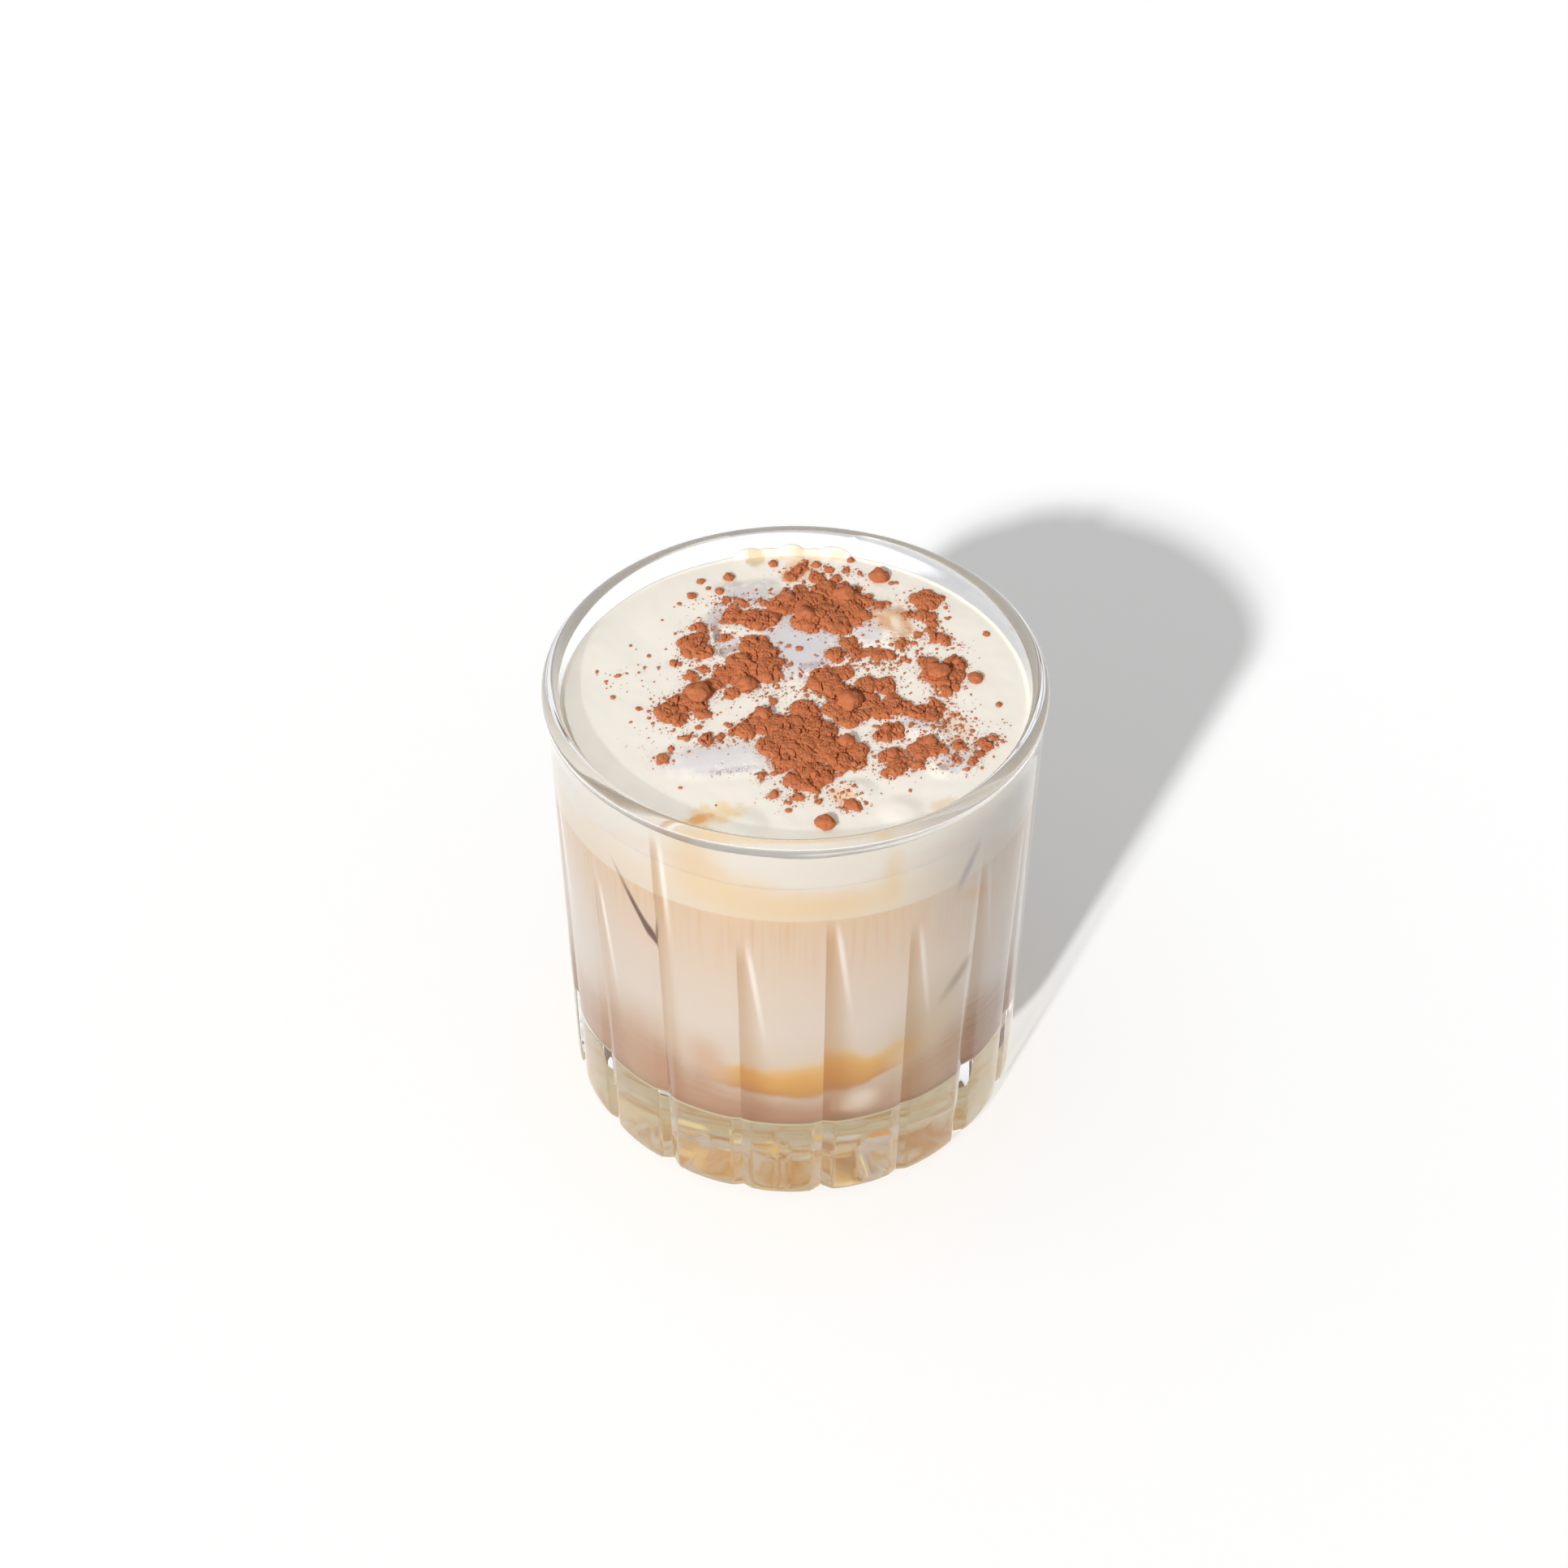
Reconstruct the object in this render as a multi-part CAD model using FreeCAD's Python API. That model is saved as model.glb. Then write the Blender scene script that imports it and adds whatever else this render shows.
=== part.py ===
import FreeCAD, Part
import math
import os
from FreeCAD import Vector

# Iced salt coffee in its cut tumbler.
# Millimetres, +Z up, origin at the middle of the underside of the foot, the side seen first faces -Y.

# ---- the glass ----
height = 91.0              # table to the top of the lip
rim_diameter = 88.0        # over the rolled lip
foot_diameter = 85.2       # outside of the wall carried down to the table
lip_thickness = 3.0        # the wall at the lip, rounded over
lip_overhang = 0.45        # how far the lip stands out from the wall under it
flare_height = 4.5         # from the top of the lip down to where it starts to flare
floor_wall = 3.6           # the wall carried down to the floor
base_thickness = 17.0      # heavy base, up to the floor of the bowl
floor_fillet = 5.0         # inside corner between floor and wall
foot_fillet = 3.0          # outside corner at the table
punt_diameter = 58.0       # hollow pressed into the underside
punt_depth = 1.2

# ---- the cuts down the outside ----
deep_cuts = 9              # as many shallow cuts lie half way between them
first_cut_deg = 6.8        # first deep cut, from the front, towards +X
deep_cut_depth = 1.25      # at the table
deep_cut_stop = 11.0       # plain band from the top of the lip to where a deep cut runs out
shallow_cut_depth = 0.55
shallow_cut_stop = 16.0
cut_half_width = 4.4       # half the width of a cut at the table
cut_tip = 0.3              # half width kept where a cut has run out
cut_stations = 8           # stations that bend each cut along its height

# ---- the drink ----
cream_drop = 4.8           # from the top of the lip down to the cream
cream_thickness = 6.3
stained_thickness = 8.4    # cream stained by the coffee and syrup below it
syrup_thickness = 7.2
coffee_depth = 11.6        # from the floor to the syrup, on the glass's axis
syrup_tilt = 0.14          # rise of the syrup towards +X, per millimetre
milk_dome = 2.2            # how far the milk coffee's top falls from the middle to either side
wave_height = 0.7          # swell left in the layers by pouring
wave_length = 47.0
surface_stations = 27      # grid of heights each way that a layer's surface is laid through

# Humps where ice lies just under the cream: x, y, half length and half width as shares of the
# cream's radius, turn in degrees, height.
ice_humps = [
    (-0.098, 0.317, 0.256, 0.195, 20.0, 1.5),
    (-0.268, -0.427, 0.232, 0.110, 8.0, 1.2),
    (0.415, 0.439, 0.159, 0.122, -30.0, 1.2),
    (0.634, -0.463, 0.134, 0.098, 25.0, 0.8),
    (-0.207, -0.768, 0.146, 0.098, -8.0, 0.5),
    (0.451, -0.695, 0.159, 0.098, 12.0, 0.6),
]

# Heaps of cocoa powder, in the same order.
cocoa_heaps = [
    (0.127, 0.620, 0.254, 0.200, 12.0, 3.0),
    (-0.244, 0.517, 0.141, 0.095, 10.0, 1.8),
    (-0.449, 0.351, 0.112, 0.083, 62.0, 2.2),
    (-0.151, 0.156, 0.193, 0.137, 38.0, 2.6),
    (-0.427, -0.063, 0.171, 0.098, 33.0, 2.6),
    (0.190, 0.034, 0.166, 0.122, -24.0, 3.0),
    (0.488, -0.083, 0.154, 0.095, -16.0, 2.6),
    (0.029, -0.346, 0.224, 0.195, -35.0, 2.8),
    (0.624, 0.137, 0.132, 0.098, -55.0, 3.0),
    (0.590, 0.663, 0.102, 0.063, -8.0, 2.2),
    (0.600, 0.454, 0.132, 0.056, -62.0, 1.8),
    (0.385, -0.263, 0.080, 0.061, 20.0, 1.8),
    (0.398, -0.454, 0.093, 0.063, 70.0, 2.0),
    (0.554, -0.359, 0.088, 0.078, 10.0, 2.0),
    (0.683, -0.351, 0.083, 0.039, 80.0, 1.6),
    (0.795, -0.405, 0.137, 0.037, 58.0, 1.4),
]
heap_spokes = 24           # facets round a heap
heap_rings = 4             # facets from its middle to its edge
heap_edge = 0.35           # thickness left at the very edge
heap_seat = 0.08           # clearance between powder and cream
heap_unevenness = 0.12     # share by which an outline swells and shrinks

rim_radius = rim_diameter / 2
shoulder_radius = rim_radius - lip_overhang
mouth_radius = rim_radius - lip_thickness
foot_radius = foot_diameter / 2
floor_radius = foot_radius - floor_wall
lip_radius = lip_thickness / 2
neck_height = height - flare_height
deep_cut_top = height - deep_cut_stop
shallow_cut_top = height - shallow_cut_stop
cream_level = height - cream_drop
stained_level = cream_level - cream_thickness
milk_level = stained_level - stained_thickness
coffee_level = base_thickness + coffee_depth
syrup_level = coffee_level + syrup_thickness


def outer_radius(z):
    """Outside of the uncut wall, a plain taper from table to lip."""
    return foot_radius + (shoulder_radius - foot_radius) * z / (height - lip_radius)


def inner_radius(z):
    """Inside of the wall, a plain taper from floor to lip."""
    share = (z - base_thickness) / (height - lip_radius - base_thickness)
    return floor_radius + (mouth_radius - floor_radius) * share


def arc(start, middle, end):
    return Part.Arc(start, middle, end).toShape()


def line(start, end):
    return Part.LineSegment(start, end).toShape()


def corner_arc(centre, radius, from_deg, to_deg):
    """Arc in the X-Z half plane, by its centre and two directions."""
    def point(deg):
        turn = math.radians(deg)
        return centre + Vector(radius * math.cos(turn), 0, radius * math.sin(turn))
    return point(from_deg), arc(point(from_deg), point((from_deg + to_deg) / 2), point(to_deg)), point(to_deg)


def revolved(edges):
    """Solid of revolution about Z from edges that close a face beside the axis."""
    face = Part.Face(Part.Wire(edges))
    return face.revolve(Vector(0, 0, 0), Vector(0, 0, 1), 360)


def wall_radius(z):
    """Outside of the uncut glass with its rounded foot and flared lip."""
    if z < foot_fillet:
        drop = foot_fillet - z
        return outer_radius(foot_fillet) - foot_fillet + math.sqrt(foot_fillet ** 2 - drop ** 2)
    flare = max(z - neck_height, 0.0) / (height - lip_radius - neck_height)
    return outer_radius(z) + (rim_radius - shoulder_radius) * flare


def cut_size(z, top, depth):
    """Depth and half width of a cut at one height; it widens and deepens towards the table."""
    share = min(max(top - z, 0.0) / top, 1.0)
    return depth * math.sin(share * math.pi / 2), max(cut_half_width * math.sqrt(share), cut_tip)


def cut_points(z, top, depth, azimuth):
    """Across one cut: a sharp valley with hollow flanks that run out into the wall."""
    reach, half = cut_size(z, top, depth)
    points = []
    for across in (-1.0, -0.5, 0.0, 0.5, 1.0):
        turn = math.radians(azimuth) + across * half / outer_radius(z)
        radial = wall_radius(z) - reach * (1 - abs(across)) ** 2
        points.append(Vector(radial * math.sin(turn), -radial * math.cos(turn), z))
    return points


def round_arc(start, end):
    """Arc about Z between two points at one height and radius, the short way towards +X from front."""
    radial = math.hypot(start.x, start.y)
    middle = Vector(start.x + end.x, start.y + end.y, 0)
    middle.normalize()
    return arc(start, middle * radial + Vector(0, 0, start.z), end)


def wall_outline(z):
    """Closed outline of the outside at one height, cut after cut with the land between."""
    pitch = 360.0 / deep_cuts
    cuts = []
    for number in range(deep_cuts):
        azimuth = first_cut_deg + number * pitch
        cuts.append((deep_cut_top, deep_cut_depth, azimuth))
        cuts.append((shallow_cut_top, shallow_cut_depth, azimuth + pitch / 2))
    crossings = [cut_points(z, top, depth, azimuth) for top, depth, azimuth in cuts]
    edges = []
    for number, crossing in enumerate(crossings):
        plain = cuts[number][0] <= z
        for start, end in zip(crossing, crossing[1:]):
            edges.append(round_arc(start, end) if plain else line(start, end))
        following = crossings[(number + 1) % len(crossings)]
        edges.append(round_arc(crossing[-1], following[0]))
    return Part.Wire(edges)


def lip():
    """Rounded top of the wall, a half ring that stands on it."""
    centre = Vector(mouth_radius + lip_radius, 0, height - lip_radius)
    outside, top, inside = corner_arc(centre, lip_radius, 0, 180)
    return revolved([top, line(inside, outside)])


def punt():
    """Shallow dome pressed up into the underside."""
    edge = Vector(punt_diameter / 2, 0, 0)
    middle = Vector(punt_diameter / 4, 0, punt_depth * 0.75)
    top = Vector(0, 0, punt_depth)
    return revolved([arc(edge, middle, top), line(top, Vector(0, 0, 0)), line(Vector(0, 0, 0), edge)])


def bowl():
    """The inside of the glass, from its floor to the foot of the lip."""
    floor_z = base_thickness + floor_fillet
    floor_centre = Vector(inner_radius(floor_z) - floor_fillet, 0, floor_z)
    floor_low, corner, floor_side = corner_arc(floor_centre, floor_fillet, -90, 0)
    lip_z = height - lip_radius
    top_side = Vector(mouth_radius, 0, lip_z)
    top_middle = Vector(0, 0, lip_z)
    floor_middle = Vector(0, 0, base_thickness)
    return revolved([line(floor_middle, floor_low), corner, line(floor_side, top_side),
                     line(top_side, top_middle), line(top_middle, floor_middle)])


def glass():
    heights = [foot_fillet * (1 - math.cos(step * math.pi / 8)) for step in range(4)]
    highest = max(deep_cut_top, shallow_cut_top)
    heights += [foot_fillet + (highest - foot_fillet) * (step / cut_stations) ** 0.8
                for step in range(cut_stations + 1)]
    heights += [shallow_cut_top, neck_height, height - lip_radius]
    outlines = [wall_outline(z) for z in sorted(set(heights))]
    body = Part.makeLoft(outlines, True, True)
    return body.fuse(lip()).cut([bowl(), punt()])


cream_radius = inner_radius(cream_level)


def sized(row):
    """A hump or heap in millimetres, from its shares of the cream's radius."""
    return [share * cream_radius for share in row[:4]] + list(row[4:])


def mound(x, y, hump):
    """Height share of a smooth hump at a place, 1 on its top and falling to 0 around it."""
    centre_x, centre_y, half_length, half_width, turn_deg, _ = hump
    turn = math.radians(turn_deg)
    along = ((x - centre_x) * math.cos(turn) + (y - centre_y) * math.sin(turn)) / half_length
    across = ((y - centre_y) * math.cos(turn) - (x - centre_x) * math.sin(turn)) / half_width
    return math.exp(-(along ** 2 + across ** 2))


def cream_top(x, y):
    lift = 0.0
    for hump in map(sized, ice_humps):
        lift = max(lift, hump[5] * mound(x, y, hump))
    return cream_level + lift


def stained_top(x, y):
    return stained_level + 0.3 * wave_height * math.sin(2 * math.pi * (x - y) / wave_length)


def milk_top(x, y):
    """Highest along the middle, falling towards the two sides."""
    return milk_level - milk_dome * (x / inner_radius(milk_level)) ** 2


def wave(x, y, shift):
    along = math.sin(2 * math.pi * x / wave_length + shift)
    across = math.cos(2 * math.pi * y / wave_length + 1.7 * shift)
    return wave_height * along * across


def syrup_top(x, y):
    return syrup_level + syrup_tilt * x + wave(x, y, 0.4)


def coffee_top(x, y):
    return coffee_level + syrup_tilt * x + wave(x, y, 1.3)


def below(height_at):
    """Everything under a gently curved surface, as a block wider than the glass."""
    reach = rim_radius + 2.0
    pitch = 2 * reach / (surface_stations - 1)
    rows = []
    for row in range(surface_stations):
        x = -reach + row * pitch
        line_of_points = []
        for column in range(surface_stations):
            y = -reach + column * pitch
            line_of_points.append(Vector(x, y, height_at(x, y)))
        rows.append(line_of_points)
    surface = Part.BSplineSurface()
    surface.interpolate(rows)
    return surface.toShape().extrude(Vector(0, 0, -2 * height))


def drink_layers():
    """The drink from its floor up, each layer resting on the one under it."""
    rest = bowl()
    layers = {}
    levels = [("coffee_base", coffee_top), ("syrup_band", syrup_top), ("milk_coffee", milk_top),
              ("stained_cream", stained_top), ("salt_cream", cream_top)]
    for name, height_at in levels:
        block = below(height_at)
        layers[name] = rest.common(block)
        rest = rest.cut(block)
    return layers


def heap_radius(heap, turn, number):
    """Outline of a heap in one direction, from its middle, swelling and shrinking unevenly."""
    half_length, half_width = heap[2], heap[3]
    swell = heap_unevenness * (math.sin(3 * turn + number) + 0.6 * math.sin(5 * turn + 2.3 * number))
    oval = half_length * half_width / math.hypot(half_width * math.cos(turn), half_length * math.sin(turn))
    return oval * (1 + swell)


def cocoa_heap(heap, number):
    """Low uneven mound of powder that follows the cream under it."""
    centre_x, centre_y, _, _, turn_deg, top = heap
    places = [(centre_x, centre_y, 1.0)]
    for ring in range(1, heap_rings + 1):
        share = ring / heap_rings
        for spoke in range(heap_spokes):
            turn = 2 * math.pi * spoke / heap_spokes
            reach = heap_radius(heap, turn, number) * share
            heading = turn + math.radians(turn_deg)
            rise = math.sqrt(1 - share ** 2) * (1 + 0.12 * math.sin(4 * turn + 3 * ring + number))
            places.append((centre_x + reach * math.cos(heading),
                           centre_y + reach * math.sin(heading), rise))
    top_points = []
    under_points = []
    for x, y, rise in places:
        seat = cream_top(x, y) + heap_seat
        under_points.append(Vector(x, y, seat))
        top_points.append(Vector(x, y, seat + heap_edge + (top - heap_edge) * rise))
    offset = len(places)

    def at(ring, spoke):
        return 0 if ring == 0 else 1 + (ring - 1) * heap_spokes + spoke % heap_spokes

    facets = []
    for ring in range(heap_rings):
        for spoke in range(heap_spokes):
            near, far = at(ring, spoke), at(ring + 1, spoke)
            far_next, near_next = at(ring + 1, spoke + 1), at(ring, spoke + 1)
            pieces = [(near, far, far_next)]
            if ring > 0:
                pieces.append((near, far_next, near_next))
            for a, b, c in pieces:
                facets.append((a, b, c))
                facets.append((a + offset, c + offset, b + offset))
    for spoke in range(heap_spokes):
        here, there = at(heap_rings, spoke), at(heap_rings, spoke + 1)
        facets.append((here, here + offset, there + offset))
        facets.append((here, there + offset, there))
    shell = Part.Shape()
    shell.makeShapeFromMesh((top_points + under_points, facets), 0.001)
    solid = Part.Solid(Part.Shell(shell.Faces))
    if solid.Volume < 0:
        solid.reverse()
    return solid


def write(name, shape):
    shape.exportStep("parts/" + name + ".step")
    print("%-16s %9.0f mm3  z %6.2f to %6.2f  valid %s  solids %d" % (
        name, shape.Volume, shape.BoundBox.ZMin, shape.BoundBox.ZMax, shape.isValid(),
        len(shape.Solids)))


os.makedirs("parts", exist_ok=True)
write("glass", glass())
for layer_name, layer in drink_layers().items():
    write(layer_name, layer)
for heap_number, heap_row in enumerate(cocoa_heaps, start=1):
    write("cocoa_heap_%02d" % heap_number, cocoa_heap(sized(heap_row), heap_number))
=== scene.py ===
import math
import random
from types import SimpleNamespace

import bmesh
import bpy
from mathutils import Matrix, Vector, noise


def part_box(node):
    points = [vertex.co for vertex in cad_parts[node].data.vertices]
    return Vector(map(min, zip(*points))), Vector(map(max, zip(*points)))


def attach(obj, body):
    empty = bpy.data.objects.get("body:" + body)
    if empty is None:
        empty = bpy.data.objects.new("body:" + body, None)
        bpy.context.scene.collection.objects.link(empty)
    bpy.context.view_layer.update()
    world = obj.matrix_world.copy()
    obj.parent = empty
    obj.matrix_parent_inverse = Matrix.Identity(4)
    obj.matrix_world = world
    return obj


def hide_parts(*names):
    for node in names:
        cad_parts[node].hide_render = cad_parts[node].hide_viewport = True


# Iced salt coffee in its cut tumbler: clear pressed glass, layered milk coffee, whipped salted
# cream over ice, and clumps of cocoa powder. Metres, +Z up, the side seen first faces -Y.

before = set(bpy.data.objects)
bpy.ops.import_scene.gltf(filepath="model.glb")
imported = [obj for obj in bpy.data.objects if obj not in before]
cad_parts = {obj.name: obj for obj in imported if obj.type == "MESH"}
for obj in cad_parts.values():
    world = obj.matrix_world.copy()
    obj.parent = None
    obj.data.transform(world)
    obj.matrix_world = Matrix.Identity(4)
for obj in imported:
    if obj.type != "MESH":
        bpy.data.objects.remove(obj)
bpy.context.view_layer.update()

MM = 0.001
glass_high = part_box("glass")[1]
HEIGHT = glass_high.z / MM
RIM_RADIUS = glass_high.x / MM

# The glass, in millimetres.
FOOT_RADIUS = 42.6
# How far the lip stands out from the line of the wall.
LIP_SWELL = 0.45
SHOULDER_RADIUS = RIM_RADIUS - LIP_SWELL
LIP_THICKNESS = 3.0
MOUTH_RADIUS = RIM_RADIUS - LIP_THICKNESS
FLARE_HEIGHT = 6.5
FLOOR_RADIUS = FOOT_RADIUS - 3.6
BASE_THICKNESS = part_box("coffee_base")[0].z / MM
FLOOR_FILLET = 5.0
FOOT_FILLET = 3.0
PUNT_RADIUS = 29.0
PUNT_DEPTH = 1.2
CUTS = 9
FIRST_CUT_DEG = 6.8
# Height where a cut starts, depth of its sharp valley at the foot, half width of the valley, and
# depth of the broad hollow on both sides of it.
DEEP_CUT = (HEIGHT - 11.0, 1.0, 2.1, 0.45)
SHALLOW_CUT = (HEIGHT - 16.0, 0.5, 1.8, 0.35)
HOLLOW_HALF_WIDTH = 5.5
SPIN_STEPS = 720

# The drink.
CREAM_LEVEL = HEIGHT - 4.8
STAINED_LEVEL = CREAM_LEVEL - 6.3
MILK_LEVEL = STAINED_LEVEL - 7.7
MILK_DOME = 1.2
COFFEE_LEVEL = BASE_THICKNESS + 11.6
SYRUP_LEVEL = COFFEE_LEVEL + 7.2
SYRUP_TILT = 0.14
# Length of the slow waves in the boundaries between the layers.
WAVE_LENGTH = 47.0
# How far each layer reaches into the wall, so that no gap shows there.
WALL_REACH = 0.25

# Turns after which light inside the glass is given up and painted as a glow in the room's white.
TRAPPED_DEPTH = 2.5

random.seed(7)


# ---------------------------------------------------------------- small helpers

def linear(hex_colour):
    """Colour of an sRGB hex value, as the linear numbers that shaders take."""
    parts = [int(hex_colour[i:i + 2], 16) / 255 for i in (1, 3, 5)]
    parts = [c / 12.92 if c <= 0.04045 else ((c + 0.055) / 1.055) ** 2.4 for c in parts]
    return (*parts, 1.0)


def add(tree, kind, links=None, stops=(), **settings):
    """Adds one node. Settings are its properties, links are its inputs, each a value or an output,
    and stops are the places and colours of a ramp."""
    node = tree.nodes.new(kind)
    for name, value in settings.items():
        setattr(node, name, value)
    for name, value in (links or {}).items():
        if isinstance(value, bpy.types.NodeSocket):
            tree.links.new(value, node.inputs[name])
        else:
            node.inputs[name].default_value = value
    for index, (place, colour) in enumerate(stops):
        if index >= 2:
            node.color_ramp.elements.new(1.0)
        node.color_ramp.elements[index].position = place
        node.color_ramp.elements[index].color = colour
    return node


def new_material(name):
    """A material with an empty tree and its output node."""
    material = bpy.data.materials.new(name)
    material.use_nodes = True
    material.node_tree.nodes.clear()
    return material, material.node_tree, add(material.node_tree, "ShaderNodeOutputMaterial")


def new_piece(name, bm, material, replaced, sharp_deg=50):
    """Makes a bmesh in millimetres into a piece that rides on the object, smooth but for its sharp edges."""
    bmesh.ops.scale(bm, vec=(MM, MM, MM), verts=bm.verts)
    mesh = bpy.data.meshes.new(name)
    bm.to_mesh(mesh)
    bm.free()
    mesh.shade_smooth()
    mesh.set_sharp_from_angle(angle=math.radians(sharp_deg))
    mesh.materials.append(material)
    piece = bpy.data.objects.new(name, mesh)
    bpy.context.scene.collection.objects.link(piece)
    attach(piece, "root")
    if replaced:
        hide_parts(*replaced)
    return piece


def revolve(profile, steps, start_deg=0.0):
    """Closed solid of revolution from a profile of (radius, height) that starts and ends on the axis."""
    bm = bmesh.new()
    verts = [bm.verts.new((radius, 0.0, height)) for radius, height in profile]
    edges = [bm.edges.new(pair) for pair in zip(verts, verts[1:])]
    bmesh.ops.rotate(bm, cent=(0, 0, 0), matrix=Matrix.Rotation(math.radians(start_deg - 90), 3, "Z"),
                     verts=verts)
    bmesh.ops.spin(bm, geom=verts + edges, cent=(0, 0, 0), axis=(0, 0, 1), dvec=(0, 0, 0),
                   angle=math.tau, steps=steps, use_merge=True, use_duplicate=False)
    bmesh.ops.remove_doubles(bm, verts=bm.verts, dist=0.0005)
    bmesh.ops.recalc_face_normals(bm, faces=bm.faces)
    return bm


def smooth(value):
    """Soft step from 0 to 1 while the value goes from 0 to 1."""
    value = min(max(value, 0.0), 1.0)
    return value * value * (3 - 2 * value)


# ---------------------------------------------------------------- the glass

def outer_radius(z):
    """Radius of the outside of the wall at a height, without lip and cuts."""
    return FOOT_RADIUS + (SHOULDER_RADIUS - FOOT_RADIUS) * z / (HEIGHT - LIP_THICKNESS / 2)


def inner_radius(z):
    """Radius of the inside of the wall at a height."""
    share = (z - BASE_THICKNESS) / (HEIGHT - LIP_THICKNESS / 2 - BASE_THICKNESS)
    return FLOOR_RADIUS + (MOUTH_RADIUS - FLOOR_RADIUS) * share


FLOOR_FLAT_RADIUS = inner_radius(BASE_THICKNESS + FLOOR_FILLET) - FLOOR_FILLET


def arc(centre, radius, from_deg, to_deg, steps):
    """Points of an arc in the radius-height plane."""
    turns = [math.radians(from_deg + (to_deg - from_deg) * step / steps) for step in range(steps + 1)]
    return [(centre[0] + radius * math.cos(turn), centre[1] + radius * math.sin(turn)) for turn in turns]


def glass_profile():
    """From the middle of the underside, up the outside, over the lip and down to the floor's middle."""
    points = [(PUNT_RADIUS * step / 8, PUNT_DEPTH * (1 - (step / 8) ** 2)) for step in range(9)]
    points += arc((outer_radius(FOOT_FILLET) - FOOT_FILLET, FOOT_FILLET), FOOT_FILLET, -90, 0, 8)
    neck = HEIGHT - FLARE_HEIGHT
    lip_radius = LIP_THICKNESS / 2
    rows = 54
    for row in range(1, rows):
        z = FOOT_FILLET + (neck - FOOT_FILLET) * row / rows
        points.append((outer_radius(z), z))
    for row in range(5):
        z = neck + (HEIGHT - lip_radius - neck) * row / 5
        points.append((outer_radius(z) + LIP_SWELL * smooth(row / 5), z))
    points += arc((RIM_RADIUS - lip_radius, HEIGHT - lip_radius), lip_radius, 0, 180, 20)
    floor_z = BASE_THICKNESS + FLOOR_FILLET
    for row in range(1, 10):
        z = HEIGHT - lip_radius + (floor_z - HEIGHT + lip_radius) * row / 10
        points.append((inner_radius(z), z))
    points += arc((inner_radius(floor_z) - FLOOR_FILLET, floor_z), FLOOR_FILLET, 0, -90, 16)
    points.append((0.0, BASE_THICKNESS))
    return points


def cut_depth(z, off_deg, top, depth, half_width, hollow):
    """How far one cut goes into the wall, at a height and an angle from its valley."""
    share = min(max(top - z, 0.0) / top, 1.0)
    spread = min(1.0, 2.5 * share) ** 0.6
    across = abs(math.radians(off_deg)) * outer_radius(z)
    valley = depth * max(1 - across / (half_width * spread + 0.001), 0.0)
    return share * (valley + hollow * max(1 - across / HOLLOW_HALF_WIDTH, 0.0) ** 2)


def glass(material):
    """The tumbler: a heavy base, a rolled lip, and cuts that widen and deepen towards the foot."""
    bm = revolve(glass_profile(), SPIN_STEPS, FIRST_CUT_DEG)
    pitch = 360 / CUTS
    for vert in bm.verts:
        x, y, z = vert.co
        radius = math.hypot(x, y)
        under_foot = radius < outer_radius(z) - FOOT_FILLET - 0.1
        inside = radius < inner_radius(max(z, BASE_THICKNESS)) + 0.8
        if under_foot or inside or z > DEEP_CUT[0]:
            continue
        azimuth = math.degrees(math.atan2(x, -y)) - FIRST_CUT_DEG
        off_deep = (azimuth + pitch / 2) % pitch - pitch / 2
        off_shallow = azimuth % pitch - pitch / 2
        cut = cut_depth(z, off_deep, *DEEP_CUT) + cut_depth(z, off_shallow, *SHALLOW_CUT)
        vert.co.x -= cut * x / radius
        vert.co.y -= cut * y / radius
    return new_piece("clear_tumbler", bm, material, ["glass"], sharp_deg=14)


# ---------------------------------------------------------------- the drink

def milk_top(x, y):
    """Top of the milk coffee, which falls away to the left and the right."""
    return MILK_LEVEL - MILK_DOME * (x / inner_radius(MILK_LEVEL)) ** 2


def wave(x, y, shift):
    """Slow waves, 0.7 mm high, in the boundary between two layers."""
    turn_x = math.tau * x / WAVE_LENGTH + shift
    turn_y = math.tau * y / WAVE_LENGTH + 1.7 * shift
    return 0.7 * math.sin(turn_x) * math.cos(turn_y)


def syrup_top(x, y):
    """Top of the caramel syrup, tilted up to the right."""
    return SYRUP_LEVEL + SYRUP_TILT * x + wave(x, y, 0.4)


def coffee_top(x, y):
    """Top of the dark coffee, tilted like the syrup on it."""
    return COFFEE_LEVEL + SYRUP_TILT * x + wave(x, y, 1.3)


def stained_top(x, y):
    """Top of the stained cream, which is nearly level."""
    return STAINED_LEVEL + 0.21 * math.sin(math.tau * (x - y) / WAVE_LENGTH)


def floor_of_bowl(x, y):
    """Floor and its rounded corner, a little into the glass."""
    turn = FLOOR_FILLET + WALL_REACH
    over = min(max(math.hypot(x, y) - FLOOR_FLAT_RADIUS, 0.0), turn)
    return BASE_THICKNESS + FLOOR_FILLET - math.sqrt(turn ** 2 - over ** 2)


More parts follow.
